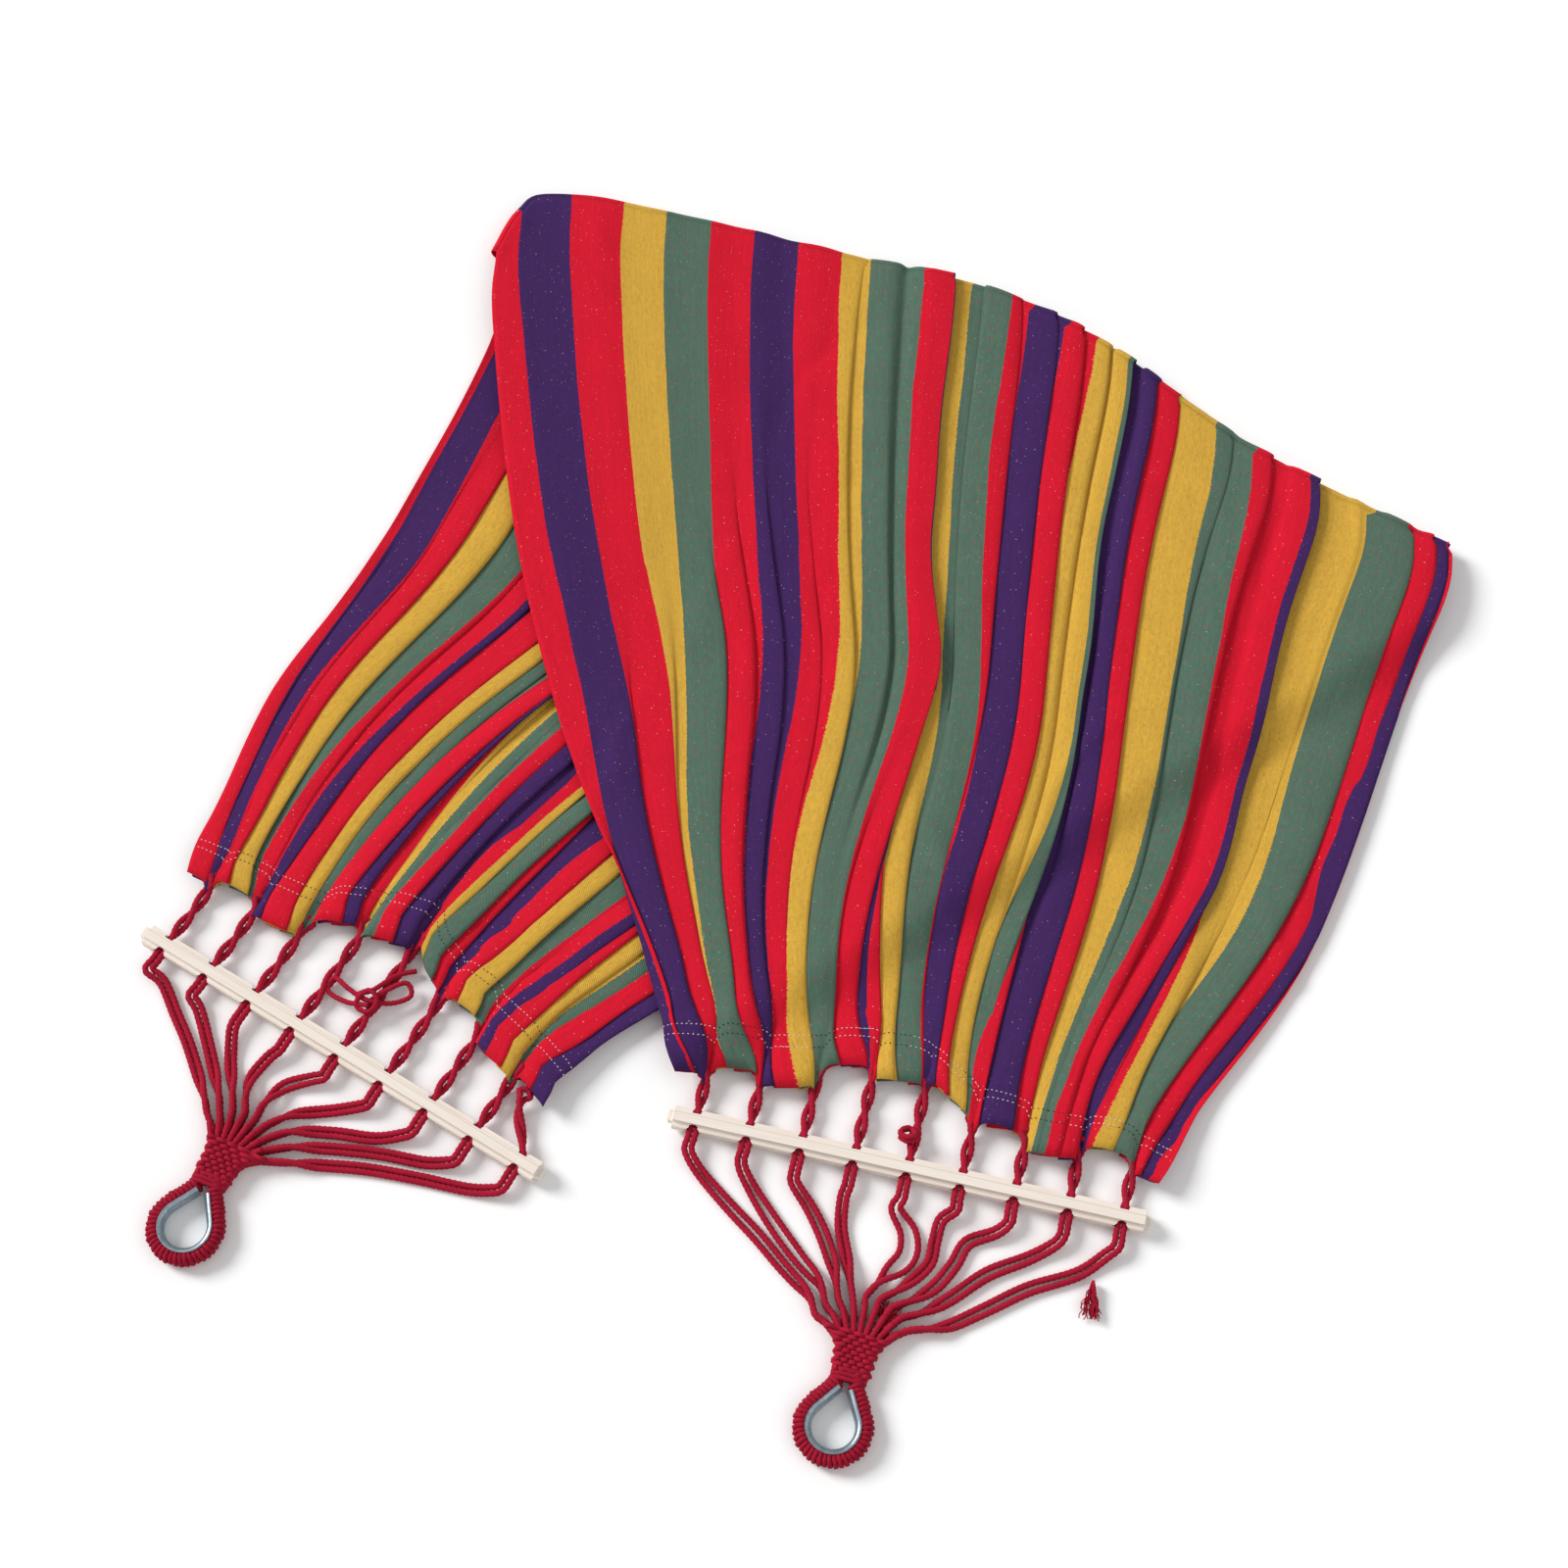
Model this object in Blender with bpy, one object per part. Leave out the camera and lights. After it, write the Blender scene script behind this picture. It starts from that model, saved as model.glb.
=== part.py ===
"""Striped cotton hammock with spreader bars and rope eyes, folded once and laid flat.

Metres, +Z up. The hammock lies on z = 0. The far edge (+Y) is the fold: the back half lies on
the ground and the front half lies over it. Each end has a hem, a wooden bar with nine holes,
nine doubled cords to the hem, nine doubled cords to a woven neck, and a rope eye on a thimble.
"""
import math
import bmesh
import bpy
from mathutils import Vector

# Driving dimensions
BAR_LENGTH = 0.450
BAR_SIDE = 0.020
BAR_EDGE = 0.003
HOLE_COUNT = 9
HOLE_PITCH = 0.050
HOLE_RADIUS = 0.0065
CORD_RADIUS = 0.003
CORD_STEP = 0.018
GAP = 0.0004
FLOOR_GAP = 0.0003
CLOTH_GAP = 0.0004
LAYER_GAP = 0.0003

LAYER_SPLIT = 0.0139
CLOTH_TOP = 0.028
HEM_DEPTH = 0.040
HEM_TOP = 0.022
RAMP_WIDTH = 0.030

PAIR_HALF = CORD_RADIUS + 0.0002
STRAND_HALF = 0.0034
FAN_START = 0.0186
TWIST_FROM = 0.055
TWIST_TO = 0.018
LEAD_IN = 0.010
MOUTH_GAP = 0.0020
SLOT_GAP = 0.0014
HEM_CORD_LIFT = 0.0006
KNOT_LIFT = 0.0045
SHORT_LOOP = 0.050
LOOP_HALF = 0.0038
LOOP_SHARE = 0.070
LOOP_GAP = 0.009
LOOP_STEP = 0.008
BELLY_SHARE = 0.55
STRAIGHT_OUT = 0.009
DROP_LENGTH = 0.045

NECK_LOW = 0.0036
NECK_HIGH = 0.0134
WAIST_HALF = 0.012
LASH_LENGTH = 0.008
LASH_WALL = 0.0028
EYE_HEIGHT = 0.0089
EYE_RADIUS = 0.029
EYE_CENTRE = 0.047
EYE_LEG_HALF = 0.0082
EYE_LEG_START = 0.006
WRAP_RADIUS = 0.008
WRAP_BORE = 0.0053
CORE_RADIUS = 0.005
THIMBLE_INSET = 0.009
THIMBLE_TIP_SHIFT = 0.003
NECK_MARGIN = 8.0
TOP_MARGIN = 0.002
LASH_INSET = 0.001

# The middle of the hammock's box, in the coordinates that its outlines and cords are drawn in
ORIGIN = Vector((-0.002, -0.0065))
FOLD_ANGLE = -24.0
FOLD_REACH = 0.5675
OUTLINE_STEP = 0.045
RAMP_START = 0.055

# Outlines, each from its hem to the fold, or from left to right
FOLD_EDGE = [(-0.330, 0.585), (-0.305, 0.635), (-0.270, 0.655), (-0.130, 0.625), (0.050, 0.575),
             (0.190, 0.535), (0.300, 0.470), (0.450, 0.345), (0.635, 0.235)]
FRONT_HEM = [(-0.130, -0.310), (-0.030, -0.315), (0.065, -0.310), (0.105, -0.320),
             (0.150, -0.365), (0.265, -0.390), (0.310, -0.415)]
FRONT_LEFT = [(-0.160, -0.200), (-0.230, -0.010), (-0.295, 0.235), (-0.330, 0.495)]
FRONT_RIGHT = [(0.350, -0.345), (0.470, -0.180), (0.580, 0.085), (0.625, 0.185)]
BACK_HEM = [(-0.600, -0.110), (-0.490, -0.165), (-0.420, -0.170), (-0.375, -0.185),
            (-0.365, -0.225), (-0.300, -0.285), (-0.260, -0.345)]
BACK_LEFT = [(-0.580, -0.050), (-0.530, 0.090), (-0.440, 0.240), (-0.335, 0.480)]
BACK_RIGHT = [(-0.205, -0.285), (0.150, -0.050), (0.600, 0.180)]


def drawn(points):
    """Points of the drawing, in the hammock's own frame."""
    return [Vector(point) - ORIGIN for point in points]


class End:
    """One end of the hammock: where its bar, neck and eye lie, and how its cords run."""

    def __init__(self, name, centre, angle, swing, neck, eye_angle, slots, waist, fan, hem):
        self.name = name
        self.centre = Vector(centre) - ORIGIN
        self.along = heading(angle)
        self.out = heading(angle - 90.0)
        self.angle = angle
        self.swing = swing
        self.neck = Vector(neck) - ORIGIN
        self.eye_angle = eye_angle
        self.eye = heading(eye_angle)
        self.slot_radius, self.slot_first, self.slot_last = slots
        self.waist = self.neck + self.eye * waist
        self.fan = [(drawn(middle), spread) for middle, spread in fan]
        self.hem = smooth_route(drawn(hem), OUTLINE_STEP)

    def hole(self, number):
        """The place of a hole's middle on the bar's axis, counted from 1 at the left."""
        middle = (HOLE_COUNT + 1) / 2
        return self.centre + self.along * (HOLE_PITCH * (number - middle))

    def slot_angle(self, number):
        share = (number - 1) / (HOLE_COUNT - 1)
        return self.slot_first + share * (self.slot_last - self.slot_first)

    def hem_distance(self, across):
        """How far the hem is from the bar's axis, at a place along the bar."""
        spots = [(self.along.dot(p - self.centre), -self.out.dot(p - self.centre))
                 for p in self.hem]
        across = min(max(across, spots[0][0]), spots[-1][0])
        for (first, near), (last, far) in zip(spots, spots[1:]):
            if across <= last:
                return near + (far - near) * (across - first) / (last - first)
        return spots[-1][1]


def heading(angle):
    """The flat unit vector at an angle in degrees from +X."""
    turn = math.radians(angle)
    return Vector((math.cos(turn), math.sin(turn)))


def material(name, colour, roughness, metallic=0.0):
    made = bpy.data.materials.new(name)
    made.use_nodes = True
    shader = made.node_tree.nodes["Principled BSDF"]
    shader.inputs["Base Color"].default_value = (*colour, 1.0)
    shader.inputs["Roughness"].default_value = roughness
    shader.inputs["Metallic"].default_value = metallic
    return made


def add(name, data, colour, pivot, roughness=0.85, metallic=0.0):
    """Link a mesh or curve as a named object under its joint's empty."""
    made = bpy.data.objects.new(name, data)
    bpy.context.collection.objects.link(made)
    data.materials.append(material(name, colour, roughness, metallic))
    if pivot is not None:
        made.parent = pivot
        made.matrix_parent_inverse = pivot.matrix_world.inverted()
    return made


def empty(name, place, parent=None):
    made = bpy.data.objects.new(name, None)
    bpy.context.collection.objects.link(made)
    made.location = place
    bpy.context.view_layer.update()
    if parent is not None:
        made.parent = parent
        made.matrix_parent_inverse = parent.matrix_world.inverted()
        bpy.context.view_layer.update()
    return made


def slab(name, outline, low, high):
    """A mesh with a flat outline, extruded from low to high."""
    bm = bmesh.new()
    face = bm.faces.new([bm.verts.new((x, y, low)) for x, y in outline])
    grown = bmesh.ops.extrude_face_region(bm, geom=[face])
    upper = [part for part in grown["geom"] if isinstance(part, bmesh.types.BMVert)]
    bmesh.ops.translate(bm, verts=upper, vec=(0, 0, high - low))
    bmesh.ops.recalc_face_normals(bm, faces=bm.faces[:])
    return bm


def finish_mesh(name, bm):
    mesh = bpy.data.meshes.new(name)
    bm.to_mesh(mesh)
    bm.free()
    return mesh


# Cords

def smooth_route(points, step):
    """Evenly spaced points on a Catmull-Rom curve through the route's own points."""
    ends = [points[0] * 2 - points[1]] + list(points) + [points[-1] * 2 - points[-2]]
    fine = []
    for a, b, c, d in zip(ends, ends[1:], ends[2:], ends[3:]):
        for share in range(16):
            t = share / 16
            fine.append(0.5 * (2 * b + (c - a) * t + (2 * a - 5 * b + 4 * c - d) * t * t
                               + (3 * b - a - 3 * c + d) * t ** 3))
    fine.append(points[-1])
    lengths = [0.0]
    for a, b in zip(fine, fine[1:]):
        lengths.append(lengths[-1] + (b - a).length)
    count = max(2, round(lengths[-1] / step))
    picked = []
    at = 0
    for index in range(count + 1):
        goal = lengths[-1] * index / count
        while at < len(fine) - 2 and lengths[at + 1] < goal:
            at += 1
        share = (goal - lengths[at]) / max(lengths[at + 1] - lengths[at], 1e-9)
        picked.append(fine[at].lerp(fine[at + 1], min(max(share, 0.0), 1.0)))
    return picked


def tube(name, points, radius):
    """A plain cord: a poly curve with a round bevel and filled caps."""
    curve = bpy.data.curves.new(name, "CURVE")
    curve.dimensions = "3D"
    curve.bevel_depth = radius
    curve.bevel_resolution = 2
    curve.use_fill_caps = True
    curve.render_resolution_u = 0
    spline = curve.splines.new("POLY")
    spline.points.add(len(points) - 1)
    for target, point in zip(spline.points, points):
        target.co = (*point, 1.0)
    return curve


def smoothstep(value):
    value = min(max(value, 0.0), 1.0)
    return value * value * (3 - 2 * value)


def pair(route, spread, length_from_end, drop_height, drop_length):
    """Two strands beside a centre line. They lie side by side, and stack one over the other
    towards the route's end. The first points come down from drop_height."""
    strands = ([], [])
    total = length_from_end[0]
    for index, point in enumerate(route):
        before = route[max(index - 1, 0)]
        after = route[min(index + 1, len(route) - 1)]
        ahead = (after - before).normalized()
        side = Vector((-ahead.y, ahead.x))
        left = length_from_end[index]
        share = 1.0 - left / total
        stack = 1.0 - smoothstep((left - TWIST_TO) / (TWIST_FROM - TWIST_TO))
        half = STRAND_HALF + spread * math.sin(math.pi * share) ** 2
        ground = CORD_RADIUS + FLOOR_GAP
        rest = ground + PAIR_HALF * math.sin(stack * math.pi / 2)
        fall = smoothstep((total - left) / drop_length)
        height = drop_height + (rest - drop_height) * fall
        for strand, sign in zip(strands, (1, -1)):
            across = side * (sign * half * math.cos(stack * math.pi / 2))
            rise = sign * PAIR_HALF * math.sin(stack * math.pi / 2)
            strand.append(Vector((*(point + across), height + rise)))
    return strands


def fan_loop(end, number):
    """One doubled cord: neck, out to just outside its hole, a U-turn, and back to the neck."""
    hole = end.hole(number)
    middle, spread = end.fan[number - 1]
    radial = heading(end.slot_angle(number))
    slot = end.neck + radial * (end.slot_radius + SLOT_GAP)
    start = hole + end.out * FAN_START
    corners = [start, start + end.out * STRAIGHT_OUT] + middle
    corners += [slot + radial * LEAD_IN, slot]
    route = smooth_route(corners, CORD_STEP)
    lengths = [0.0]
    for a, b in zip(route, route[1:]):
        lengths.append(lengths[-1] + (b - a).length)
    left = [lengths[-1] - value for value in lengths]
    one, two = pair(route, spread, left, BAR_SIDE / 2, DROP_LENGTH)
    turn = Vector((*(start - end.out * 0.0001), BAR_SIDE / 2))
    return one[::-1] + [turn] + two


def hem_loop(end, number):
    """One doubled cord from the bar's face to the hem, with its U-turn at the hem. A long loop
    lies down on the ground, and a short one stays at the height of its hole."""
    hole = end.hole(number)
    across = HOLE_PITCH * (number - (HOLE_COUNT + 1) / 2)
    width = max(LOOP_HALF, LOOP_SHARE * end.hem_distance(across))
    edge = width + CORD_RADIUS
    reach = min(end.hem_distance(across + shift) for shift in (-edge, 0.0, edge)) - LOOP_GAP
    base = hole - end.out * (BAR_SIDE / 2 + MOUTH_GAP)
    neat = end.along * -STRAND_HALF
    side = end.along * -width
    rim = hole - end.out * (reach - edge)
    crown = hole - end.out * (reach - CORD_RADIUS)
    belly = base.lerp(rim, BELLY_SHARE)
    mouth = BAR_SIDE / 2
    low = CORD_RADIUS + FLOOR_GAP + HEM_CORD_LIFT if reach > SHORT_LOOP else mouth
    first = [(base + neat, mouth), (belly + side, low), (rim + side, low)]
    second = [(rim - side, low), (belly - side, low), (base - neat, mouth)]
    route = [Vector((*flat, height)) for flat, height in first + [(crown, low)] + second]
    return smooth_route(route, LOOP_STEP)


# Ends

def add_bar(end, pivot):
    """The spreader bar, with nine holes through its two side faces."""
    half = BAR_SIDE / 2
    bm = bmesh.new()
    bmesh.ops.create_cube(bm, size=1.0)
    bmesh.ops.scale(bm, vec=(BAR_LENGTH, BAR_SIDE, BAR_SIDE), verts=bm.verts)
    bmesh.ops.translate(bm, vec=(0, 0, half), verts=bm.verts)
    bar = add(end.name + "_spreader_bar", finish_mesh(end.name + "_bar", bm),
              (0.83, 0.74, 0.60), None, 0.55)
    bar.location = (*end.centre, 0.0)
    bar.rotation_euler = (0, 0, math.radians(end.angle))
    bevel = bar.modifiers.new("edges", "BEVEL")
    bevel.width = BAR_EDGE
    bevel.segments = 2
    cutters = bmesh.new()
    for number in range(1, HOLE_COUNT + 1):
        x = HOLE_PITCH * (number - (HOLE_COUNT + 1) / 2)
        made = bmesh.ops.create_cone(cutters, cap_ends=True, segments=12, radius1=HOLE_RADIUS,
                                     radius2=HOLE_RADIUS, depth=3 * BAR_SIDE)
        for vert in made["verts"]:
            vert.co = Vector((vert.co.x + x, vert.co.z, vert.co.y + half))
    bmesh.ops.recalc_face_normals(cutters, faces=cutters.faces[:])
    cutter = add(end.name + "_hole_cutter", finish_mesh(end.name + "_cutter", cutters),
                 (0.5, 0.5, 0.5), None)
    cutter.location = bar.location
    cutter.rotation_euler = bar.rotation_euler
    cutter.hide_render = True
    cutter.display_type = "WIRE"
    holes = bar.modifiers.new("holes", "BOOLEAN")
    holes.object = cutter
    holes.operation = "DIFFERENCE"
    holes.solver = "EXACT"
    bpy.context.view_layer.update()
    bar.parent = pivot
    bar.matrix_parent_inverse = pivot.matrix_world.inverted()


def teardrop(inset, start_shift, steps=13):
    """Points and outward normals of the eye's outline, drawn in by inset, in the eye's own axes.
    The first axis runs across the eye, the second from the waist to its far end."""
    across, down = EYE_LEG_HALF, EYE_LEG_START
    back = math.atan2(down - EYE_CENTRE, across)
    reach = math.hypot(across, down - EYE_CENTRE)
    touch = back + math.acos(EYE_RADIUS / reach)
    corner = Vector((EYE_RADIUS * math.cos(touch), EYE_CENTRE + EYE_RADIUS * math.sin(touch)))
    start = Vector((across, down))
    outward = Vector((math.cos(touch), math.sin(touch)))
    leg = (corner - start).normalized()
    points = [(start + leg * start_shift, outward), (start.lerp(corner, 0.5), outward)]
    for index in range(steps):
        turn = touch + (math.pi - 2 * touch) * index / (steps - 1)
        normal = Vector((math.cos(turn), math.sin(turn)))
        points.append((Vector((0, EYE_CENTRE)) + normal * EYE_RADIUS, normal))
    for point, normal in points[1::-1]:
        points.append((Vector((-point.x, point.y)), Vector((-normal.x, normal.y))))
    return [(point - normal * inset, normal) for point, normal in points]


def ring_faces(bm, rings, flip=False):
    for one, two in zip(rings, rings[1:]):
        for index in range(len(one)):
            after = (index + 1) % len(one)
            corners = [one[index], one[after], two[after], two[index]]
            bm.faces.new(corners[::-1] if flip else corners)


def sweep(end, path, profile, bore=None):
    """A solid whose profile follows the path; with a bore it is a tube, open at both ends."""
    bm = bmesh.new()
    side = Vector((-end.eye.y, end.eye.x))

    def rings(shape):
        made = []
        for point, normal in path:
            ring = []
            for out, up in shape:
                flat = point + normal * out
                place = end.waist + side * flat.x + end.eye * flat.y
                ring.append(bm.verts.new((*place, EYE_HEIGHT + up)))
            made.append(ring)
        return made

    outer = rings(profile)
    ring_faces(bm, outer)
    if bore is None:
        bm.faces.new(outer[0][::-1])
        bm.faces.new(outer[-1])
    else:
        inner = rings(bore)
        ring_faces(bm, inner, flip=True)
        for out_ring, in_ring in ((outer[0], inner[0]), (outer[-1], inner[-1])):
            ring_faces(bm, [out_ring, in_ring])
    bmesh.ops.recalc_face_normals(bm, faces=bm.faces[:])
    return bm


def circle(radius, sides=8):
    turns = [2 * math.pi * (index + 0.5) / sides for index in range(sides)]
    return [(radius * math.cos(turn), radius * math.sin(turn)) for turn in turns]


def add_eye(end, pivot):
    """The rope eye: its core, the cord wound round it, and the thimble in its bight."""
    name = end.name
    core = sweep(end, [(Vector((EYE_LEG_HALF, GAP)), Vector((1, 0)))] + teardrop(0, 0)
                 + [(Vector((-EYE_LEG_HALF, GAP)), Vector((-1, 0)))], circle(CORE_RADIUS))
    add(name + "_eye_core", finish_mesh(name + "_core", core), (0.45, 0.02, 0.06), pivot)
    wrap = sweep(end, teardrop(0, 0), circle(WRAP_RADIUS), circle(WRAP_BORE))
    add(name + "_eye_winding", finish_mesh(name + "_wrap", wrap), (0.50, 0.01, 0.05), pivot)
    web, flange, lip, edge = -0.0008, 0.0035, 0.0072, 0.0086
    channel = [(web, -edge), (flange, -edge), (flange, -lip), (web + 0.0015, -lip + 0.0008),
               (web + 0.0015, lip - 0.0008), (flange, lip), (flange, edge), (web, edge)]
    thimble = sweep(end, teardrop(THIMBLE_INSET, THIMBLE_TIP_SHIFT), channel)
    add(name + "_thimble", finish_mesh(name + "_thimble", thimble), (0.45, 0.50, 0.55), pivot,
        0.35, 1.0)


def add_neck(end, pivot):
    """The woven neck, a fan that narrows to its waist, and the lashing round the waist."""
    side = Vector((-end.eye.y, end.eye.x))
    step = (end.slot_last - end.slot_first) / (HOLE_COUNT - 1)
    angles = [end.slot_first - math.copysign(NECK_MARGIN, step)]
    angles += [end.slot_angle(number) for number in range(1, HOLE_COUNT + 1)]
    angles.append(end.slot_last + math.copysign(NECK_MARGIN, step))
    outline = [end.neck + heading(angle) * end.slot_radius for angle in angles]
    top = end.waist - end.eye * (LASH_LENGTH + TOP_MARGIN)
    outline += [top + side * WAIST_HALF, end.waist + side * WAIST_HALF,
                end.waist - side * WAIST_HALF, top - side * WAIST_HALF]
    neck = slab(end.name, outline, NECK_LOW, NECK_HIGH)
    add(end.name + "_neck", finish_mesh(end.name + "_neck", neck), (0.50, 0.01, 0.05), pivot)
    band = bmesh.new()
    loops = []
    for grow in (LASH_WALL + GAP, GAP):
        wide = WAIST_HALF + grow
        low, high = NECK_LOW - grow, NECK_HIGH + grow
        for back in (LASH_INSET, LASH_LENGTH):
            base = end.waist - end.eye * back
            corners = [(-wide, low), (wide, low), (wide, high), (-wide, high)]
            loops.append([band.verts.new((*(base + side * x), z)) for x, z in corners])
    outer_a, outer_b, inner_a, inner_b = loops
    ring_faces(band, [outer_a, outer_b, inner_b, inner_a, outer_a])
    bmesh.ops.recalc_face_normals(band, faces=band.faces[:])
    add(end.name + "_neck_lashing", finish_mesh(end.name + "_lashing", band),
        (0.55, 0.01, 0.06), pivot)


def add_knot(name, spot, size, base, pivot):
    """A tied knot or a frayed end: a flattened ball whose underside is at height base."""
    bm = bmesh.new()
    bmesh.ops.create_uvsphere(bm, u_segments=10, v_segments=6, radius=0.5)
    bmesh.ops.scale(bm, vec=size, verts=bm.verts)
    place = Vector(spot) - ORIGIN
    bmesh.ops.translate(bm, vec=(*place, base + size[2] / 2), verts=bm.verts)
    add(name, finish_mesh(name, bm), (0.55, 0.02, 0.08), pivot)


# Cloth

def cloth_outline(end, left, right):
    """Once round a half of the cloth: its seam with the hem, its right side, the fold and its
    left side."""
    seam = [point - end.out * (HEM_DEPTH + GAP) for point in end.hem]
    sides = [smooth_route(drawn(points), OUTLINE_STEP) for points in (right, FOLD_EDGE, left)]
    return seam + sides[0] + sides[1][::-1] + sides[2][::-1]


def add_hem(end, pivot):
    """The hem, a strip along the half's free edge."""
    outline = end.hem + [point - end.out * HEM_DEPTH for point in reversed(end.hem)]
    hem = slab("hem", outline, CLOTH_GAP, HEM_TOP)
    add(end.name + "_hem", finish_mesh(end.name + "_hem", hem), (0.75, 0.02, 0.05), pivot, 0.95)


def add_back_cloth(end):
    outline = cloth_outline(end, BACK_LEFT, BACK_RIGHT)
    cloth = slab("back", outline, CLOTH_GAP, LAYER_SPLIT - LAYER_GAP)
    add("back_cloth", finish_mesh("back_cloth", cloth), (0.55, 0.03, 0.05), None, 0.95)
    add_hem(end, None)


def add_front_cloth(end, pivot):
    """The front half. It lies on the back half, and comes down to the ground to the right of it."""
    low = LAYER_SPLIT + LAYER_GAP
    cloth = slab("front", cloth_outline(end, FRONT_LEFT, FRONT_RIGHT), low, CLOTH_TOP)
    near, far = drawn([BACK_RIGHT[0], BACK_RIGHT[-1]])
    along = (far - near).normalized()
    beyond = Vector((along.y, -along.x, 0.0))
    edge = Vector((*near, 0.0))
    for distance in (RAMP_START, RAMP_START + RAMP_WIDTH):
        geometry = cloth.verts[:] + cloth.edges[:] + cloth.faces[:]
        bmesh.ops.bisect_plane(cloth, geom=geometry, plane_co=edge + beyond * distance,
                               plane_no=beyond)
    for vert in cloth.verts:
        flat = Vector((vert.co.x, vert.co.y, 0.0))
        past = (flat - edge).dot(beyond) - RAMP_START
        vert.co.z -= (low - CLOTH_GAP) * min(max(past / RAMP_WIDTH, 0.0), 1.0)
    add("front_cloth", finish_mesh("front_cloth", cloth), (0.65, 0.03, 0.06), pivot, 0.95)
    add_hem(end, pivot)


# Cord routes. Each is the centre line of a doubled cord between its hole and the neck, with how
# far its two strands spread from it.
FRONT_FAN = [
    ([(-0.108, -0.397), (-0.080, -0.430), (-0.055, -0.457), (-0.032, -0.485),
      (-0.008, -0.513)], 0.001),
    ([(-0.064, -0.405), (-0.042, -0.442), (-0.019, -0.475), (0.002, -0.502)], 0.002),
    ([(-0.020, -0.410), (-0.006, -0.432), (0.006, -0.458), (0.015, -0.488)], 0.001),
    ([(0.024, -0.424), (0.022, -0.450), (0.027, -0.480)], 0.000),
    ([(0.072, -0.434), (0.083, -0.455), (0.081, -0.477), (0.062, -0.495)], 0.005),
    ([(0.113, -0.444), (0.107, -0.463), (0.101, -0.484), (0.078, -0.505)], 0.000),
    ([(0.163, -0.455), (0.137, -0.464), (0.124, -0.484), (0.108, -0.503), (0.089, -0.516)], 0.001),
    ([(0.216, -0.466), (0.190, -0.479), (0.154, -0.493), (0.122, -0.514), (0.097, -0.528)], 0.001),
    ([(0.262, -0.476), (0.235, -0.493), (0.190, -0.507), (0.152, -0.525), (0.115, -0.541)], 0.001),
]
BACK_FAN = [
    ([(-0.614, -0.215), (-0.600, -0.245), (-0.587, -0.272), (-0.575, -0.303),
      (-0.566, -0.328)], 0.000),
    ([(-0.578, -0.242), (-0.569, -0.270), (-0.560, -0.300), (-0.553, -0.324)], 0.000),
    ([(-0.545, -0.266), (-0.545, -0.292), (-0.541, -0.318)], 0.000),
    ([(-0.510, -0.290), (-0.524, -0.307), (-0.528, -0.328)], 0.000),
    ([(-0.467, -0.310), (-0.492, -0.316), (-0.510, -0.333)], 0.001),
    ([(-0.424, -0.337), (-0.452, -0.340), (-0.480, -0.343), (-0.498, -0.350)], 0.000),
    ([(-0.381, -0.364), (-0.408, -0.366), (-0.445, -0.361), (-0.480, -0.360)], 0.000),
    ([(-0.336, -0.390), (-0.360, -0.389), (-0.400, -0.381), (-0.445, -0.376),
      (-0.478, -0.375)], 0.000),
    ([(-0.294, -0.416), (-0.320, -0.414), (-0.365, -0.404), (-0.415, -0.395),
      (-0.465, -0.391)], 0.000),
]


def clear_scene():
    for old in list(bpy.data.objects):
        bpy.data.objects.remove(old)


def add_end(end, cloth_pivot):
    """All pieces of one end, on the empties of its two swing joints."""
    hem_line = end.centre - end.out * end.swing
    bar_pivot = empty(end.name + "_bar_swing", (*hem_line, BAR_SIDE / 2), cloth_pivot)
    eye_pivot = empty(end.name + "_eye_swing", (*end.centre, BAR_SIDE / 2), bar_pivot)
    add_bar(end, bar_pivot)
    for number in range(1, HOLE_COUNT + 1):
        hem = tube("hem_loop", hem_loop(end, number), CORD_RADIUS)
        add(f"{end.name}_hem_cord_{number}", hem, (0.50, 0.01, 0.05), bar_pivot)
        fan = tube("fan_loop", fan_loop(end, number), CORD_RADIUS)
        add(f"{end.name}_fan_cord_{number}", fan, (0.50, 0.01, 0.05), eye_pivot)
    add_neck(end, eye_pivot)
    add_eye(end, eye_pivot)
    return bar_pivot, eye_pivot


def main():
    clear_scene()
    front = End("front", (0.083, -0.397), -13.0, 0.085, (0.036, -0.562), -108.0,
                (0.040, 140.0, 20.0), 0.026, FRONT_FAN, FRONT_HEM)
    back = End("back", (-0.443, -0.285), -31.6, 0.115, (-0.545, -0.386), -113.5,
               (0.038, 112.0, -4.0), 0.024, BACK_FAN, BACK_HEM)
    fold = heading(FOLD_ANGLE + 90.0) * FOLD_REACH - ORIGIN
    fold_pivot = empty("cloth_unfold", (*fold, LAYER_SPLIT))
    add_back_cloth(back)
    add_front_cloth(front, fold_pivot)
    front_pivot, front_eye = add_end(front, fold_pivot)
    back_pivot, _ = add_end(back, None)
    on_cords = 2 * CORD_RADIUS + KNOT_LIFT
    add_knot("front_tie_knot", (0.084, -0.366), (0.024, 0.022, 0.013), on_cords, front_pivot)
    add_knot("back_bow_knot", (-0.420, -0.238), (0.030, 0.024, 0.013), on_cords, back_pivot)
    add_knot("front_frayed_tassel", (0.246, -0.515), (0.018, 0.030, 0.012), FLOOR_GAP, front_eye)
    bpy.context.view_layer.update()


main()
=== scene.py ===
"""The look of the striped hammock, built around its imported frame. Metres, +Z up."""
import math
import random

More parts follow.
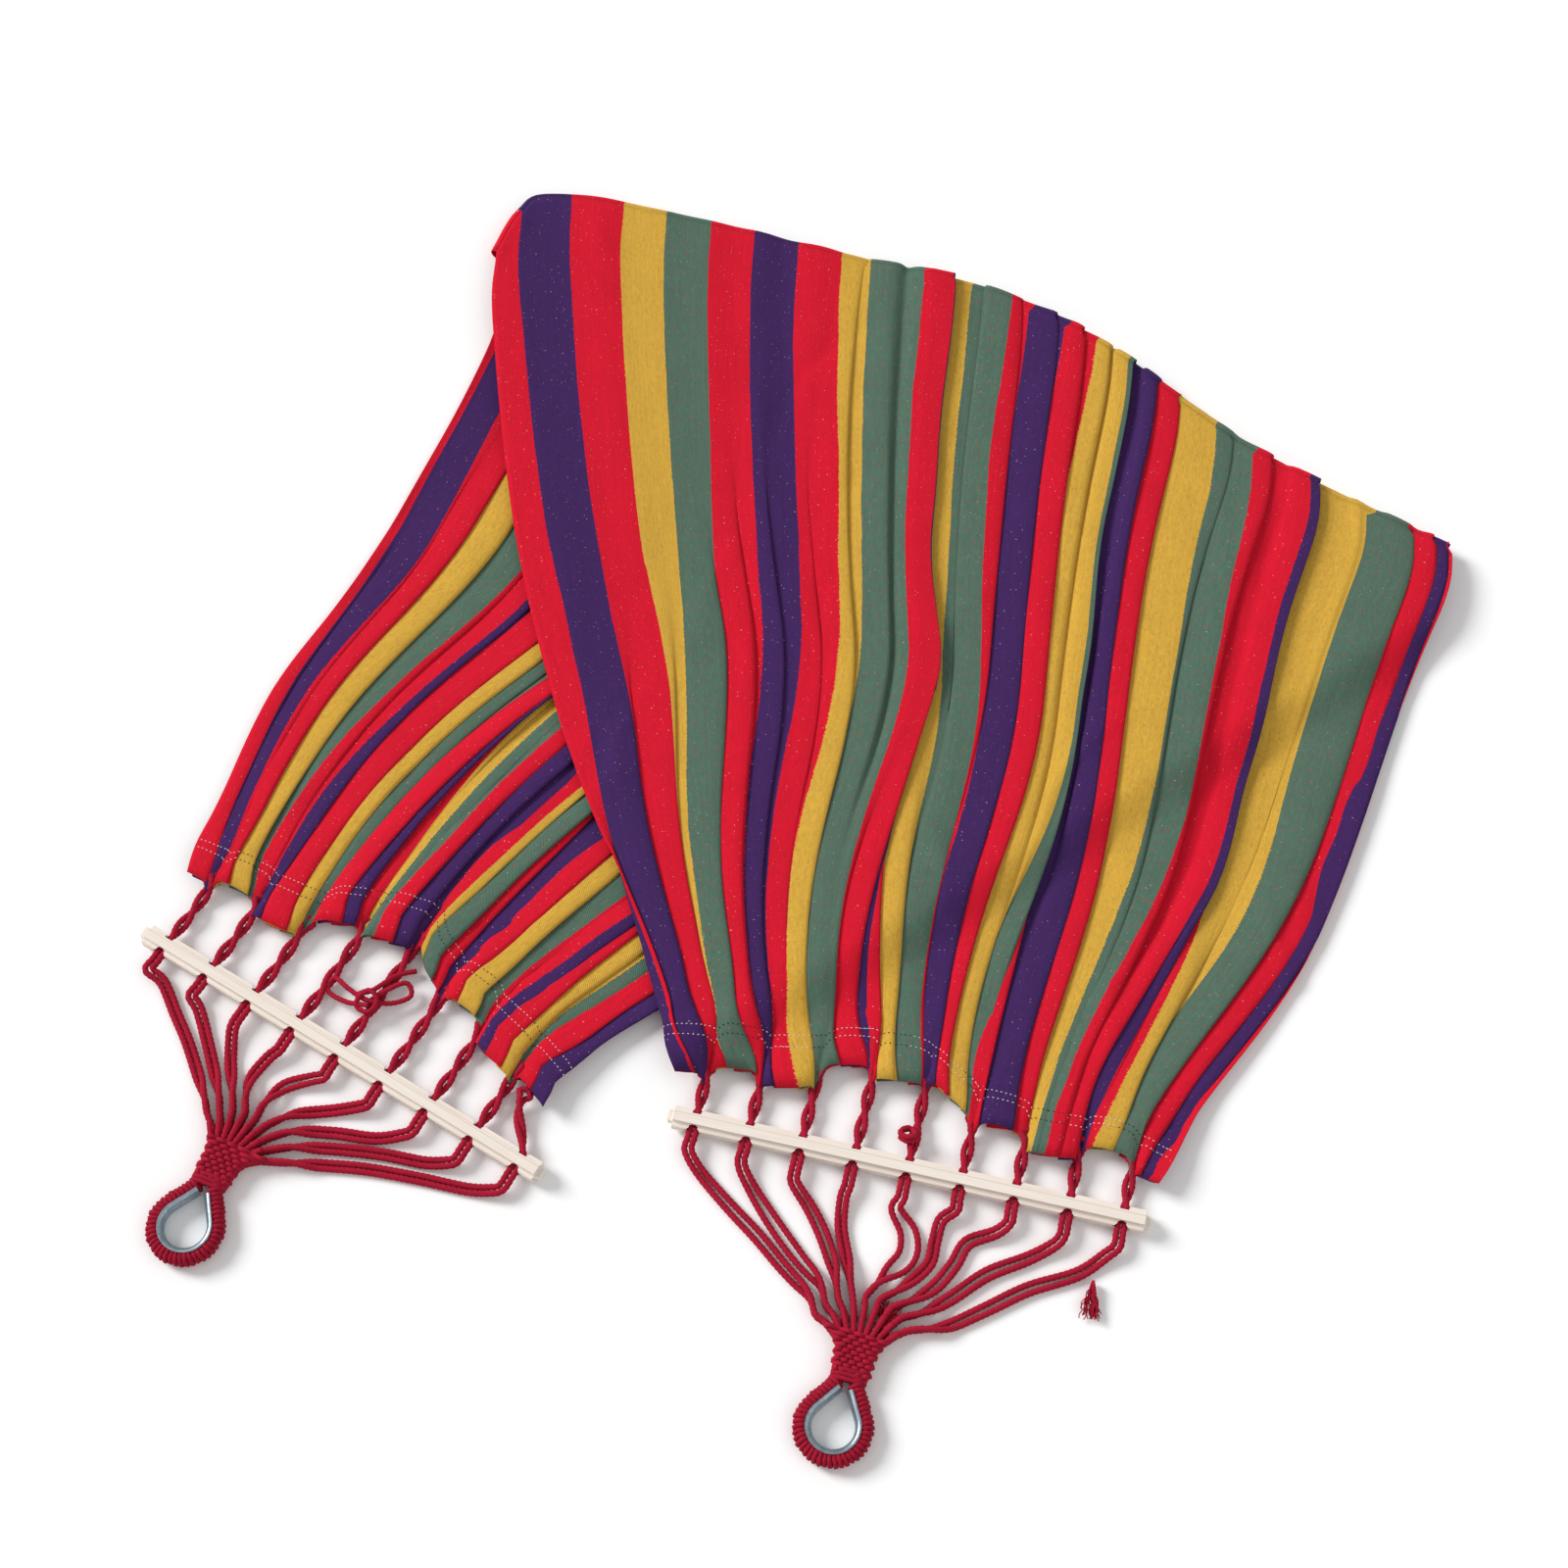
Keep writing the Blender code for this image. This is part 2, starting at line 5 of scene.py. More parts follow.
import bmesh
import bpy
import numpy as np
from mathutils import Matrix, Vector


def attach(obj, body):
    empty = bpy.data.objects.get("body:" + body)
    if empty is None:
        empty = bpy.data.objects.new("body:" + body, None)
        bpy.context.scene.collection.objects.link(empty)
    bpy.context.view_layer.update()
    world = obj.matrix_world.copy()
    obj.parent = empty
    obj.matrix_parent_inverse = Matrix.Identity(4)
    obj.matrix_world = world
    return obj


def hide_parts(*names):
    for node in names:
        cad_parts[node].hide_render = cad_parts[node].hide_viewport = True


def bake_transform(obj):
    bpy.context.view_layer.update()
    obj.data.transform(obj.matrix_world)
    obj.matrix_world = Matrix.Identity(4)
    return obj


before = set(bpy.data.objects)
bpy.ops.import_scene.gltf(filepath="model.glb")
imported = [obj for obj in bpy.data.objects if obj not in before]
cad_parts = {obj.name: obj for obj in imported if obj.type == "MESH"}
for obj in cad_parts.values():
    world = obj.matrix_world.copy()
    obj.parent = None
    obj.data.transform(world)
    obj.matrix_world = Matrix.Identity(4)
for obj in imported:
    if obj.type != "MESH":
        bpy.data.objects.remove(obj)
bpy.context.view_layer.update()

# Sizes that repeat the part's own
HOLE_COUNT = 9
HOLE_PITCH = 0.050
HOLE_RADIUS = 0.0065
HOLE_SIDES = 32
BAR_LENGTH = 0.450
BAR_SIDE = 0.020
BAR_ROUND = 0.005
CORD = 0.006
ROPE_STRANDS = 3
STRAND_HALF = 0.0031
PAIR_HALF = 0.0032
FAN_START = 0.0186
TWIST_FROM = 0.055
TWIST_TO = 0.018
FAN_DROP = 0.045
LEAD_IN = 0.010
LIE = 0.0033
HEM_BITE = 0.012
PAIR_LAY = 0.062
TWIST_START = 0.15
EYE_HEIGHT = 0.0089
EYE_RADIUS = 0.029
EYE_CENTRE = 0.047
EYE_LEG_HALF = 0.0082
EYE_LEG_START = 0.006
THIMBLE_INSET = 0.009
WINDING_PITCH = 0.0043
WINDING_RADIUS = 0.0055
WINDING_CORD = 0.0048
CORE_CORD = 0.0100

# Necks and lashings
WARP_HEIGHTS = (0.0056, 0.0112)
WARP_CORD = 0.0056
WARP_HALF = 0.0140
WEFT_ROWS = 9
WEFT_FIRST = 0.003
WEFT_PITCH = 0.0043
WEFT_OVER = 0.0152
WEFT_UNDER = 0.0120
WEFT_TURN = 0.0085
WEFT_PAST = 0.0034
WEFT_CORD = 0.0048
LASH_TURNS = 2.5
LASH_PITCH = 0.0040
LASH_HALF = 0.0150
LASH_RISE = 0.0062
LASH_CORD = 0.0046

# Knots
KNOT_SNUG = 0.62
KNOT_CORD = 0.0055
BOW_CORD = 0.0050

# Cloth
CLOTH_WIDTH = 1.500
HALF_LENGTH = 0.925
STRIP_LENGTH = 0.022
STRIPE_REPEAT = 0.235
EDGE_STRIPE = 0.020
# Where the purple, red, yellow, green and second red stripes start, as shares of one repeat
STRIPE_STARTS = (0.0, 0.213, 0.425, 0.604, 0.787)
HEM_CORNER = 0.018
STITCH_ROWS = (0.034, 0.040)
STITCH_RADIUS = 0.00045
COLUMNS = 440
ROWS = 108
FOLDS = 29
STRIP_ROWS = 9
CLOTH_THICK = 0.0011
LOW_LAYER = 0.0012
HIGH_LAYER = 0.0155
BACK_LIMIT = 0.0125
FRONT_FOLD_HEIGHTS = (0.019, 0.0062)
BACK_FOLD_HEIGHTS = (0.018, 0.0062)
SCALLOP = 0.012
TAB = 0.007
# How far each stretch of hem between two cords falls back, from left to right: below 0 it bulges
# out over them instead.
LOBES = [0.3, 0.9, -0.5, 1.1, -0.4, 0.7, 1.0, -0.6, 0.8, 0.2]
PINCH = 0.55
BULGE = 0.0060
CREASE_COUNT = 90
PILE_LIMIT = 0.0215

# Stage
CAMERA_ELEVATION = 67.0
CAMERA_DISTANCE = 2.85
CAMERA_TARGET = (-0.028, -0.0035, 0.0)
CAMERA_LENS = 67.5
FLOOR_SIZE = 14.0
FLOOR_DROP = 0.0005
FLOOR_WHITE = 0.95
WORLD_LIGHT = 0.46
# Each lamp's place, strength and softness in degrees
LAMPS = (((-1.0, 0.55, 0.75), 2.9, 24.0), ((0.9, -0.5, 1.2), 0.5, 60.0))

# The middle of the hammock's box, in the coordinates that its outlines and cords are drawn in
ORIGIN = Vector((-0.002, -0.0065))

# Outlines, each from its hem to the fold, or from left to right
FOLD_EDGE = [(-0.330, 0.585), (-0.305, 0.635), (-0.270, 0.655), (-0.130, 0.625), (0.050, 0.575),
             (0.190, 0.535), (0.300, 0.470), (0.450, 0.345), (0.635, 0.235)]
FRONT_HEM = [(-0.130, -0.310), (-0.030, -0.315), (0.065, -0.310), (0.105, -0.320),
             (0.150, -0.365), (0.265, -0.390), (0.310, -0.415)]
FRONT_LEFT = [(-0.160, -0.200), (-0.230, -0.010), (-0.295, 0.235), (-0.330, 0.495)]
FRONT_RIGHT = [(0.350, -0.345), (0.470, -0.180), (0.580, 0.085), (0.625, 0.185)]
BACK_HEM = [(-0.600, -0.110), (-0.490, -0.165), (-0.420, -0.170), (-0.375, -0.185),
            (-0.365, -0.225), (-0.300, -0.285), (-0.260, -0.345)]
BACK_LEFT = [(-0.580, -0.050), (-0.530, 0.090), (-0.440, 0.240), (-0.335, 0.480)]
BACK_RIGHT = [(-0.205, -0.285), (0.150, -0.050), (0.450, 0.105), (0.600, 0.180)]

# Where the cloth's width lies along the fold: width across the cloth in metres, then the share
# of the fold's edge. The steep gaps between them are the pleats.
FOLD_LIE = [(0.0, 0.0), (0.020, 0.050), (0.070, 0.105), (0.205, 0.240), (0.440, 0.440),
            (0.620, 0.490), (0.675, 0.525), (0.867, 0.650), (0.960, 0.662), (1.060, 0.715),
            (1.195, 0.850), (1.290, 0.868), (1.337, 0.925), (1.400, 0.970), (1.500, 1.0)]
FRONT_PLEATS = [(0.430, 0.640, 0.024, 0.0095, 0.50), (0.850, 0.975, 0.012, 0.0080, 0.62),
                (1.180, 1.310, 0.016, 0.0085, 0.40)]
BACK_PLEATS = [(0.430, 0.640, 0.020, 0.0050, 0.40), (0.850, 0.975, 0.012, 0.0045, 0.30),
               (1.180, 1.310, 0.012, 0.0045, 0.50)]

FRONT_FAN = [
    ([(-0.108, -0.397), (-0.080, -0.430), (-0.055, -0.457), (-0.032, -0.485),
      (-0.008, -0.513)], 0.001),
    ([(-0.064, -0.405), (-0.042, -0.442), (-0.019, -0.475), (0.002, -0.502)], 0.002),
    ([(-0.020, -0.410), (-0.006, -0.432), (0.006, -0.458), (0.015, -0.488)], 0.001),
    ([(0.024, -0.424), (0.022, -0.450), (0.027, -0.480)], 0.000),
    ([(0.072, -0.434), (0.083, -0.455), (0.081, -0.477), (0.062, -0.495)], 0.005),
    ([(0.113, -0.444), (0.107, -0.463), (0.101, -0.484), (0.078, -0.505)], 0.000),
    ([(0.163, -0.455), (0.137, -0.464), (0.124, -0.484), (0.108, -0.503), (0.089, -0.516)], 0.001),
    ([(0.216, -0.466), (0.190, -0.479), (0.154, -0.493), (0.122, -0.514), (0.097, -0.528)], 0.001),
    ([(0.262, -0.476), (0.235, -0.493), (0.190, -0.507), (0.152, -0.525), (0.115, -0.541)], 0.001),
]
BACK_FAN = [
    ([(-0.614, -0.215), (-0.600, -0.245), (-0.587, -0.272), (-0.575, -0.303),
      (-0.566, -0.328)], 0.000),
    ([(-0.578, -0.242), (-0.569, -0.270), (-0.560, -0.300), (-0.553, -0.324)], 0.000),
    ([(-0.545, -0.266), (-0.545, -0.292), (-0.541, -0.318)], 0.000),
    ([(-0.510, -0.290), (-0.524, -0.307), (-0.528, -0.328)], 0.000),
    ([(-0.467, -0.310), (-0.492, -0.316), (-0.510, -0.333)], 0.001),
    ([(-0.424, -0.337), (-0.452, -0.340), (-0.480, -0.343), (-0.498, -0.350)], 0.000),
    ([(-0.381, -0.364), (-0.408, -0.366), (-0.445, -0.361), (-0.480, -0.360)], 0.000),
    ([(-0.336, -0.390), (-0.360, -0.389), (-0.400, -0.381), (-0.445, -0.376),
      (-0.478, -0.375)], 0.000),
    ([(-0.294, -0.416), (-0.320, -0.414), (-0.365, -0.404), (-0.415, -0.395),
      (-0.465, -0.391)], 0.000),
]


def drawn(points):
    """Points of the drawing, in the hammock's own frame."""
    return [Vector(point) - ORIGIN for point in points]


def heading(angle):
    turn = math.radians(angle)
    return Vector((math.cos(turn), math.sin(turn)))


def hole_across(number):
    """A hole's place along its bar, from the middle."""
    return HOLE_PITCH * (number - (HOLE_COUNT + 1) / 2)


class End:
    """One end of the hammock: where its bar, cords, neck and eye lie."""

    def __init__(self, name, centre, angle, swing, neck, eye_angle, slots, waist, fan, hem):
        self.name = name
        self.centre = Vector(centre) - ORIGIN
        self.along = heading(angle)
        self.out = heading(angle - 90.0)
        self.angle = angle
        self.swing = swing
        self.neck = Vector(neck) - ORIGIN
        self.eye = heading(eye_angle)
        self.side = Vector((-self.eye.y, self.eye.x))
        self.slot_radius, self.slot_first, self.slot_last = slots
        self.waist = self.neck + self.eye * waist
        self.fan = [(drawn(middle), spread) for middle, spread in fan]
        self.hem = [Vector(point) for point in resample(catmull(drawn(hem)), 60)]
        self.bar_body = name + "_bar"
        self.eye_body = name + "_eye"
        self.cloth_body = name + "_half"

    def hole(self, number):
        return self.centre + self.along * hole_across(number)

    def slot_angle(self, number):
        share = (number - 1) / (HOLE_COUNT - 1)
        return self.slot_first + share * (self.slot_last - self.slot_first)

    def hem_distance(self, number):
        """How far the hem is from the bar's axis, in front of a hole."""
        across = hole_across(number)
        spots = [(self.along.dot(p - self.centre), -self.out.dot(p - self.centre))
                 for p in self.hem]
        return float(np.interp(across, *zip(*spots)))

    def hem_lean(self, number):
        """How far sideways a cord leans, to reach into the cloth at the hem's ends."""
        across = hole_across(number)
        first, last = (self.along.dot(p - self.centre) for p in (self.hem[0], self.hem[-1]))
        return min(max(across, first + HEM_CORNER), last - HEM_CORNER) - across

    def local(self, across, down, height):
        """A point in the eye's own axes, in the frame."""
        return Vector((*(self.waist + self.side * across + self.eye * down), height))


def smoothed(row, reach):
    """Each value's mean with its neighbours, reach of them on each side."""
    window = np.ones(2 * reach + 1) / (2 * reach + 1)
    return np.convolve(np.pad(row, reach, mode="edge"), window, "valid")


def smoothstep(value):
    value = np.clip(value, 0.0, 1.0)
    return value * value * (3 - 2 * value)


def catmull(points, per=16):
    points = [np.array(p, float) for p in points]
    ends = [points[0] * 2 - points[1]] + points + [points[-1] * 2 - points[-2]]
    fine = []
    for a, b, c, d in zip(ends, ends[1:], ends[2:], ends[3:]):
        for share in range(per):
            t = share / per
            fine.append(0.5 * (2 * b + (c - a) * t + (2 * a - 5 * b + 4 * c - d) * t * t
                               + (3 * b - a - 3 * c + d) * t ** 3))
    fine.append(points[-1])
    return np.array(fine)


def distances(points):
    """How far along a polyline each of its points is."""
    return np.concatenate([[0], np.cumsum(np.linalg.norm(np.diff(points, axis=0), axis=1))])


def read_rows(where, along, rows):
    """Points of a line, read at distances along it."""
    return np.stack([np.interp(where, along, rows[:, k]) for k in range(rows.shape[1])], axis=-1)


def resample(fine, count):
    """Points evenly spaced along a polyline."""
    fine = np.asarray(fine, float)
    along = distances(fine)
    return read_rows(np.linspace(0, along[-1], count), along, fine)


def route_length(points):
    return float(np.linalg.norm(np.diff(np.asarray(points), axis=0), axis=1).sum())


FRONT = End("front", (0.083, -0.397), -13.0, 0.085, (0.036, -0.562), -108.0,
            (0.040, 140.0, 20.0), 0.026, FRONT_FAN, FRONT_HEM)
BACK = End("back", (-0.443, -0.285), -31.6, 0.115, (-0.545, -0.386), -113.5,
           (0.038, 112.0, -4.0), 0.024, BACK_FAN, BACK_HEM)


# Materials

def grey(value):
    return (value, value, value, 1)


class Nodes:
    """A short way to build one material's node tree."""

    def __init__(self, name, roughness=0.8, **values):
        self.material = bpy.data.materials.new(name)
        self.material.use_nodes = True
        self.tree = self.material.node_tree
        self.shader = self.tree.nodes["Principled BSDF"]
        self.shader.inputs["Roughness"].default_value = roughness
        for key, value in values.items():
            self.shader.inputs[key.replace("_", " ")].default_value = value

    def node(self, kind, **values):
        made = self.tree.nodes.new("ShaderNode" + kind)
        for key, value in values.items():
            setattr(made, key, value)
        return made

    def put(self, socket, value):
        if isinstance(value, (int, float, tuple)):
            socket.default_value = value
        else:
            self.tree.links.new(value, socket)

    def math(self, how, a, b=0.0, clamp=False):
        made = self.node("Math", operation=how, use_clamp=clamp)
        self.put(made.inputs[0], a)
        self.put(made.inputs[1], b)
        return made.outputs[0]

    def add(self, a, b):
        return self.math("ADD", a, b)

    def times(self, a, b):
        return self.math("MULTIPLY", a, b)

    def mix(self, share, a, b, how="MIX"):
        made = self.node("Mix", data_type="RGBA", blend_type=how)
        self.put(made.inputs[0], share)
        self.put(made.inputs[6], a)
        self.put(made.inputs[7], b)
        return made.outputs[2]

    def noise(self, vector, scale, detail=2.0, rough=0.5):
        made = self.node("TexNoise")
        self.put(made.inputs["Vector"], vector)
        made.inputs["Scale"].default_value = scale
        made.inputs["Detail"].default_value = detail
        made.inputs["Roughness"].default_value = rough
        return made.outputs["Fac"]

    def stretch(self, vector, scale):
        made = self.node("Mapping")
        self.put(made.inputs["Vector"], vector)
        made.inputs["Scale"].default_value = scale
        return made.outputs["Vector"]

    def uv(self, name):
        return self.node("UVMap", uv_map=name).outputs["UV"]

    def place(self):
        return self.node("TexCoord").outputs["Object"]

    def steps(self, value, stops, how="CONSTANT"):
        made = self.node("ValToRGB")
        ramp = made.color_ramp
        ramp.interpolation = how
        ramp.elements[0].position, ramp.elements[0].color = stops[0]
        ramp.elements[1].position, ramp.elements[1].color = stops[1]
        for where, colour in stops[2:]:
            ramp.elements.new(where).color = colour
        self.put(made.inputs["Fac"], value)
        return made.outputs["Color"]

    def above(self, value, low, high):
        """0 below low, 1 above high."""
        return self.steps(value, [(0.0, grey(0)), (low, grey(0)), (high, grey(1))], "LINEAR")

    def bump(self, height, strength, distance):
        made = self.node("Bump")
        made.inputs["Strength"].default_value = strength
        made.inputs["Distance"].default_value = distance
        self.put(made.inputs["Height"], height)
        self.put(self.shader.inputs["Normal"], made.outputs["Normal"])

    def colour(self, value):
        self.put(self.shader.inputs["Base Color"], value)
        return self.material


def srgb(red, green, blue):
    def linear(value):
        value /= 255
        return value / 12.92 if value <= 0.04045 else ((value + 0.055) / 1.055) ** 2.4
    return (linear(red), linear(green), linear(blue), 1.0)


RED = srgb(212, 10, 42)
PURPLE = srgb(60, 32, 92)
YELLOW = srgb(228, 180, 66)
GREEN = srgb(84, 128, 110)


def stripe_colour(n, across):
    """The stripe at a width across the cloth: purple, red, yellow, green, red, and again."""
    past_edge = n.math("SUBTRACT", across, EDGE_STRIPE)
    local = n.math("MODULO", n.add(past_edge, STRIPE_REPEAT), STRIPE_REPEAT)
    share = n.math("DIVIDE", local, STRIPE_REPEAT)
    return share, n.steps(share, list(zip(STRIPE_STARTS, (PURPLE, RED, YELLOW, GREEN, RED))))


def cloth_material():
    n = Nodes("striped_canvas", 0.95, Specular_IOR_Level=0.2)
    uv = n.uv("weave")
    split = n.node("SeparateXYZ")
    n.put(split.inputs[0], uv)
    across, along = split.outputs[0], split.outputs[1]
    wander = n.noise(n.stretch(uv, (1.0, 0.25, 1.0)), 40.0, 2.0)
    ragged = n.noise(uv, 700.0, 1.0)
    shift = n.times(n.math("SUBTRACT", wander, 0.5), 0.003)
    jitter = n.times(n.math("SUBTRACT", ragged, 0.5), 0.0022)
    share, base = stripe_colour(n, n.add(n.add(across, shift), jitter))
    yarn = n.noise(n.stretch(uv, (1.0, 0.06, 1.0)), 1500.0, 2.0)
    slub = n.noise(n.stretch(uv, (1.0, 0.03, 1.0)), 420.0, 3.0, 0.6)
    heather = n.steps(share, list(zip(STRIPE_STARTS, map(grey, (0.10, 0.12, 0.55, 0.9, 0.12)))))
    fleck = n.steps(n.noise(n.stretch(uv, (1.0, 0.16, 1.0)), 620.0, 2.0),
                    [(0.0, grey(0)), (0.56, grey(1))], "LINEAR")
    dark = n.mix(n.times(fleck, 0.55), base, srgb(70, 50, 45))
    base = n.mix(n.times(heather, 0.5), base, dark)
    warm = n.above(n.noise(n.stretch(uv, (1.0, 0.2, 1.0)), 800.0, 1.0), 0.60, 0.64)
    base = n.mix(n.times(n.times(warm, heather), 0.35), base, srgb(170, 60, 60))
    grain = n.noise(n.stretch(uv, (1.0, 0.5, 1.0)), 520.0, 2.0, 0.7)
    worn = n.noise(uv, 26.0, 3.0, 0.55)
    tone = n.add(n.add(yarn, slub), n.add(grain, n.times(worn, 0.5)))
    tone = n.add(0.45, n.times(tone, 0.33))
    shade = n.node("CombineColor")
    for socket in shade.inputs:
        n.put(socket, tone)
    base = n.mix(1.0, base, shade.outputs[0], "MULTIPLY")
    diagonal = n.add(across, n.times(along, 1.15))
    twill = n.math("SINE", n.times(diagonal, 2 * math.pi / 0.0021))
    twill = n.add(0.5, n.times(twill, 0.5))
    pick = n.math("SINE", n.times(along, 2 * math.pi / 0.0012))
    pick = n.add(0.5, n.times(pick, 0.5))
    depth = n.add(0.12, n.times(heather, 0.34))
    base = n.mix(n.times(twill, depth), base, srgb(60, 34, 30))
    nep = n.above(n.noise(uv, 640.0, 0.0), 0.80, 0.83)
    base = n.mix(n.times(nep, 0.45), base, srgb(238, 200, 190))
    height = n.add(n.times(twill, 0.7), n.times(pick, 0.3))
    height = n.add(height, n.times(slub, 0.8))
    n.bump(height, 0.55, 0.0005)
    return n.colour(base)


def cord_material(name="crimson_cotton", light=srgb(192, 26, 58), dark=srgb(108, 6, 28)):
    n = Nodes(name, 0.92, Specular_IOR_Level=0.2)
    uv = n.uv("lay")
    fibre = n.noise(n.stretch(uv, (1.0, 0.22, 1.0)), 900.0, 3.0, 0.6)
    broad = n.noise(n.place(), 60.0, 2.0)
    share = n.add(n.times(fibre, 0.75), n.times(broad, 0.35))
    base = n.mix(share, dark, light)
    fluff = n.above(n.noise(n.place(), 900.0, 1.0), 0.70, 0.76)
    base = n.mix(n.times(fluff, 0.3), base, srgb(220, 84, 104))
    n.bump(fibre, 0.5, 0.0004)
    return n.colour(base)


def wood_material():
    n = Nodes("sanded_plywood", 0.52)
    uv = n.uv("grain")
    split = n.node("SeparateXYZ")
    n.put(split.inputs[0], uv)
    grain = n.noise(n.stretch(uv, (0.05, 1.0, 1.0)), 420.0, 4.0, 0.6)
    broad = n.noise(n.stretch(uv, (0.10, 1.0, 1.0)), 90.0, 3.0)
    base = n.mix(broad, srgb(240, 231, 222), srgb(226, 212, 198))
    streak = n.steps(grain, [(0.0, grey(1)), (0.40, grey(0.25)), (0.55, grey(0))], "LINEAR")
    base = n.mix(n.times(streak, 0.30), base, srgb(196, 172, 150))
    ply = n.math("ABSOLUTE", n.math("SUBTRACT", n.math("ABSOLUTE", split.outputs[1]), 0.0072))
    wave = n.times(n.math("SUBTRACT", broad, 0.5), 0.0006)
    line = n.math("SUBTRACT", 1.0, n.math("DIVIDE", n.add(ply, wave), 0.00045), clamp=True)
    base = n.mix(n.times(line, 0.55), base, srgb(150, 128, 110))
    n.bump(grain, 0.25, 0.0003)
    rough = n.add(0.45, n.times(grain, 0.2))
    n.put(n.shader.inputs["Roughness"], rough)
    return n.colour(base)


def steel_material():
    n = Nodes("galvanised_steel", 0.38, Metallic=1.0)
    cells = n.node("TexVoronoi")
    n.put(cells.inputs["Vector"], n.place())
    cells.inputs["Scale"].default_value = 260.0
    mottle = n.noise(n.place(), 180.0, 4.0, 0.6)
    scuff = n.noise(n.stretch(n.place(), (1.0, 1.0, 6.0)), 700.0, 2.0)
    tone = n.add(n.times(cells.outputs["Color"], 0.35), n.times(mottle, 0.65))
    base = n.mix(tone, srgb(112, 128, 140), srgb(186, 196, 204))
    n.put(n.shader.inputs["Roughness"], n.add(0.24, n.times(scuff, 0.34)))
    n.bump(mottle, 0.2, 0.0003)
    return n.colour(base)


def thread_material(name, colour):
    n = Nodes(name, 0.7)
    fine = n.noise(n.place(), 1500.0, 1.0)
    return n.colour(n.mix(n.times(fine, 0.4), colour, (0.02, 0.02, 0.02, 1.0)))


CANVAS = cloth_material()
COTTON = cord_material()
WINDING = cord_material("wound_cotton", srgb(184, 22, 54), srgb(96, 5, 26))
WOOD = wood_material()
STEEL = steel_material()
DARK_THREAD = thread_material("dark_thread", srgb(34, 22, 44))
PALE_THREAD = thread_material("pale_thread", srgb(236, 226, 226))


# Meshes

def link(name, mesh, *materials):
    made = bpy.data.objects.new(name, mesh)
    bpy.context.collection.objects.link(made)
    for one in materials:
        mesh.materials.append(one)
    return made


def grid_mesh(name, verts, rows, columns, closed=False, caps=False, uv=None, uv_name="lay"):
    """A mesh from rows of points. closed joins each row's ends, caps fill the first and last."""
    across = columns if closed else columns - 1
    r, c = np.meshgrid(np.arange(rows - 1), np.arange(across), indexing="ij")
    after = (c + 1) % columns
    quads = np.stack([r * columns + c, r * columns + after,
                      (r + 1) * columns + after, (r + 1) * columns + c], axis=-1)
    faces = quads.reshape(-1, 4).tolist()
    if caps:
        faces.append(list(range(columns))[::-1])
        faces.append(list(range((rows - 1) * columns, rows * columns)))
    mesh = bpy.data.meshes.new(name)
    mesh.from_pydata(verts.reshape(-1, 3).tolist(), [], faces)
    if uv is not None:
        corner = np.empty(len(mesh.loops), dtype=np.int32)
        mesh.loops.foreach_get("vertex_index", corner)
        layer = mesh.uv_layers.new(name=uv_name)
        layer.data.foreach_set("uv", uv.reshape(-1, 2)[corner].astype(np.float32).ravel())
    mesh.shade_smooth()
    mesh.update()
    return mesh


def close_tube(bm, rings):
    """Faces between rings of corners, and over both ends."""
    sides = len(rings[0])
    for one, two in zip(rings, rings[1:]):
        for k in range(sides):
            bm.faces.new([one[k], one[(k + 1) % sides], two[(k + 1) % sides], two[k]])
    bm.faces.new(rings[0][::-1])
    bm.faces.new(rings[-1])


def frames_along(path):
    """Unit tangents and a steady pair of normals along a path."""
    path = np.asarray(path, float)
    tangent = np.gradient(path, axis=0)
    tangent /= np.linalg.norm(tangent, axis=1)[:, None] + 1e-12
    normal = np.zeros_like(path)
    guess = np.array([0.0, 0.0, 1.0])
    if abs(tangent[0] @ guess) > 0.9:
        guess = np.array([1.0, 0.0, 0.0])
    for index, t in enumerate(tangent):
        guess = guess - t * (guess @ t)
        guess /= np.linalg.norm(guess) + 1e-12
        normal[index] = guess
    return tangent, normal, np.cross(tangent, normal)


def rope_mesh(name, path, diameter, lay=2.5, sides=18, step=0.0016):
    """A laid rope: a cross-section of round lobes that turns once in lay diameters."""
    path = resample(path, max(4, int(route_length(path) / step)))
    along = distances(path)
    _, one, two = frames_along(path)
    turn = np.linspace(0, 2 * math.pi, sides, endpoint=False)[None, :]
    phase = 2 * math.pi * along[:, None] / (lay * diameter)
    lobe = np.abs(np.cos(ROPE_STRANDS * (turn - phase) / 2))
    radius = diameter / 2 * (0.72 + 0.34 * lobe ** 0.75)
    verts = (path[:, None, :] + one[:, None, :] * (radius * np.cos(turn))[..., None]
             + two[:, None, :] * (radius * np.sin(turn))[..., None])
    u = np.broadcast_to((turn - phase) * diameter / 2, radius.shape)
    v = np.broadcast_to(along[:, None], radius.shape)
    return grid_mesh(name, verts, len(path), sides, closed=True, caps=True,
                     uv=np.stack([u, v], axis=-1))


def join(name, meshes, *materials):
    """Several meshes as one piece."""
    bm = bmesh.new()
    for mesh in meshes:
        bm.from_mesh(mesh)
    made = bpy.data.meshes.new(name)
    bm.to_mesh(made)
    bm.free()
    return link(name, made, *materials)


# Cords

